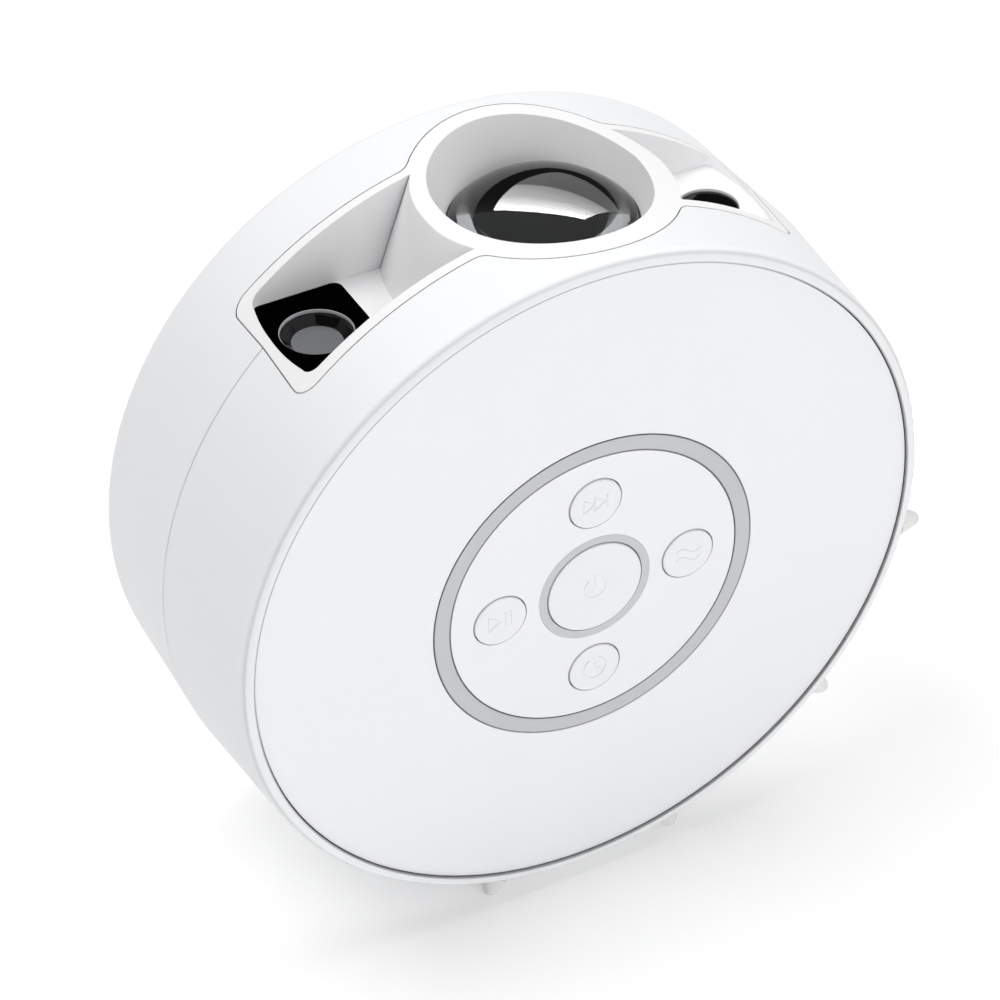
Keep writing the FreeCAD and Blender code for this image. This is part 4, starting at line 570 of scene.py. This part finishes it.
def metal(name, colour, shade, roughness, grain):
    """Bare metal with tool marks of the given spacing in millimetres, a hundredth of a millimetre deep."""
    material, tree = blank_material(name)
    place = add(tree, "TexCoord").outputs["Object"]
    marks = add(tree, "TexNoise", {"Vector": place, "Scale": 1 / (grain * MM), "Detail": 4.0})
    tint = add(tree, "Mix", {
        "Factor": marks.outputs["Fac"], "A": linear(colour), "B": linear(shade),
    }, data_type="RGBA")
    gloss = add(tree, "MapRange", {
        "Value": marks.outputs["Fac"], "To Min": roughness - 0.08, "To Max": roughness + 0.08,
    })
    relief = add(tree, "Bump", {"Height": marks.outputs["Fac"], "Distance": 0.01 * MM, "Strength": 0.4})
    shader = add(tree, "BsdfPrincipled", {
        "Base Color": tint.outputs["Result"], "Metallic": 1.0, "Roughness": gloss.outputs["Result"],
        "Normal": relief.outputs["Normal"],
    })
    add(tree, "OutputMaterial", {"Surface": shader.outputs["BSDF"]})
    return material


# Ground steel is bright and nearly mirrors. The marks on all the metals are drawn coarser than real ones.
shaft_steel = metal("ground_steel", "#C8C9CB", "#B9BABC", 0.2, 0.4)
dress(shaft_steel, NODES["ripple_shaft"])

# The motor's can is drawn from sheet steel and zinc plated, which gives a soft bluish grey.
motor_steel = metal("zinc_plated_steel", "#B4B6BA", "#A6A9AE", 0.35, 0.8)
dress(motor_steel, NODES["ripple_motor"])

# ---------------------------------------------------------------- lamp
# A moulded frame carries the lenses, the lamp and the motor. The lamp is four chips with domes on a round
# board, on a block of aluminium with sawn fins, and a polished condenser lens gathers its light.

dress(lens_glass, NODES["condenser_lens"])

# Glass fibre in black nylon gives a dull, slightly mottled dark grey.
nylon = moulded_plastic("glass_filled_nylon", "#151516", "#1C1C1E", 0.55, 0.5, 0.03, edge=0.2)
dress(nylon, NODES["optics_base"])

# The lamp's board has a white lacquer that throws the light back, smooth with a soft shine.
board_white = moulded_plastic("white_solder_mask", "#EDEDE8", "#E8E8E2", 0.3, 0.4, 0.005, edge=0.1)
dress(board_white, NODES["led_board"])

# The domes over the chips are silicone filled with phosphor, a clear amber yellow.
phosphor = moulded_plastic("phosphor_silicone", "#E6C41E", "#D9B616", 0.25, 0.3, 0.005, edge=0.1)
dress(phosphor, NODES["led_emitters"])

# Sawn aluminium is bare and dull silver, with fine marks from the saw.
sawn_aluminium = metal("sawn_aluminium", "#C3C5C8", "#B2B4B8", 0.4, 0.6)
dress(sawn_aluminium, NODES["led_heatsink"])

# ---------------------------------------------------------------- laser
# A turned brass barrel holds the laser diode, clamped in a nylon bracket. Over it a thin grating disc turns
# on the shaft of a small motor and fans the beam into stars.

dress(nylon, NODES["laser_bracket"])
dress(shaft_steel, NODES["grating_shaft"])
dress(motor_steel, NODES["grating_motor"])

# Turned brass is a warm yellow with soft highlights.
laser_brass = metal("turned_brass", "#D0A95C", "#BF984C", 0.28, 0.4)
dress(laser_brass, NODES["laser_module"])

# Embossed film splits light into faint colours. Its real lines are far too fine to show, so cells of 2 mm
# stand for them.
CELL_WIDTH = 2.0 * MM
CELL_DEPTH = 0.1 * MM
grating, tree = blank_material("embossed_grating_film")
place = add(tree, "TexCoord").outputs["Object"]
cells = add(tree, "TexVoronoi", {"Vector": place, "Scale": 1 / CELL_WIDTH}, feature="F1")
relief = add(tree, "Bump", {"Height": cells.outputs["Distance"], "Distance": CELL_DEPTH, "Strength": 0.6})
shader = add(tree, "BsdfPrincipled", {
    "Base Color": linear("#DCE6EA"), "Roughness": 0.08, "IOR": 1.58, "Transmission Weight": 0.85,
    "Thin Film Thickness": 450.0, "Normal": relief.outputs["Normal"],
})
add(tree, "OutputMaterial", {"Surface": shader.outputs["BSDF"]})
dress(grating, NODES["grating_disc"])

# ---------------------------------------------------------------- circuit boards
# The keypad board and the main board are glass epoxy with etched copper tracks. The switches, the small
# lamps of the light ring and the other parts are soldered on them.

# Green solder mask is smooth and shows the tracks under it as slightly darker lines, which are drawn 6 mm
# to a unit of the pattern.
TRACK_UNIT = 6.0 * MM
solder_mask, tree = blank_material("green_solder_mask")
place = add(tree, "TexCoord").outputs["Object"]
tracks = add(tree, "TexBrick", {
    "Vector": place, "Color1": linear("#0F4A2C"), "Color2": linear("#12563A"), "Mortar": linear("#0A3A22"),
    "Scale": 1 / TRACK_UNIT, "Mortar Size": 0.04,
})
shader = add(tree, "BsdfPrincipled", {"Base Color": tracks.outputs["Color"], "Roughness": 0.3, "IOR": 1.55})
add(tree, "OutputMaterial", {"Surface": shader.outputs["BSDF"]})
dress(solder_mask, NODES["keypad_board"], NODES["main_board"])
dress(part_black, NODES["keypad_switches"], NODES["board_components"])
dress(phosphor, NODES["ring_leds"])

# ---------------------------------------------------------------- power inlet and screws
# The socket in the back is a drawn shell of steel with nickel plating. The shells, the panel, the keypad, the
# frame and the board are held by self-tapping steel screws with zinc plating.

# Nickel is a slightly warm silver with a fair shine.
inlet_steel = metal("nickel_plated_steel", "#C9C7C2", "#BDBBB6", 0.25, 0.6)
dress(inlet_steel, NODES["power_inlet"])

# Zinc on the small screws is a cooler and duller grey.
screw_steel = metal("zinc_plated_screw_steel", "#A9ABAF", "#9B9DA2", 0.32, 0.5)
dress(screw_steel, *[NODES[name + "_screws"] for name in ("case", "panel", "keypad", "optics", "board")])
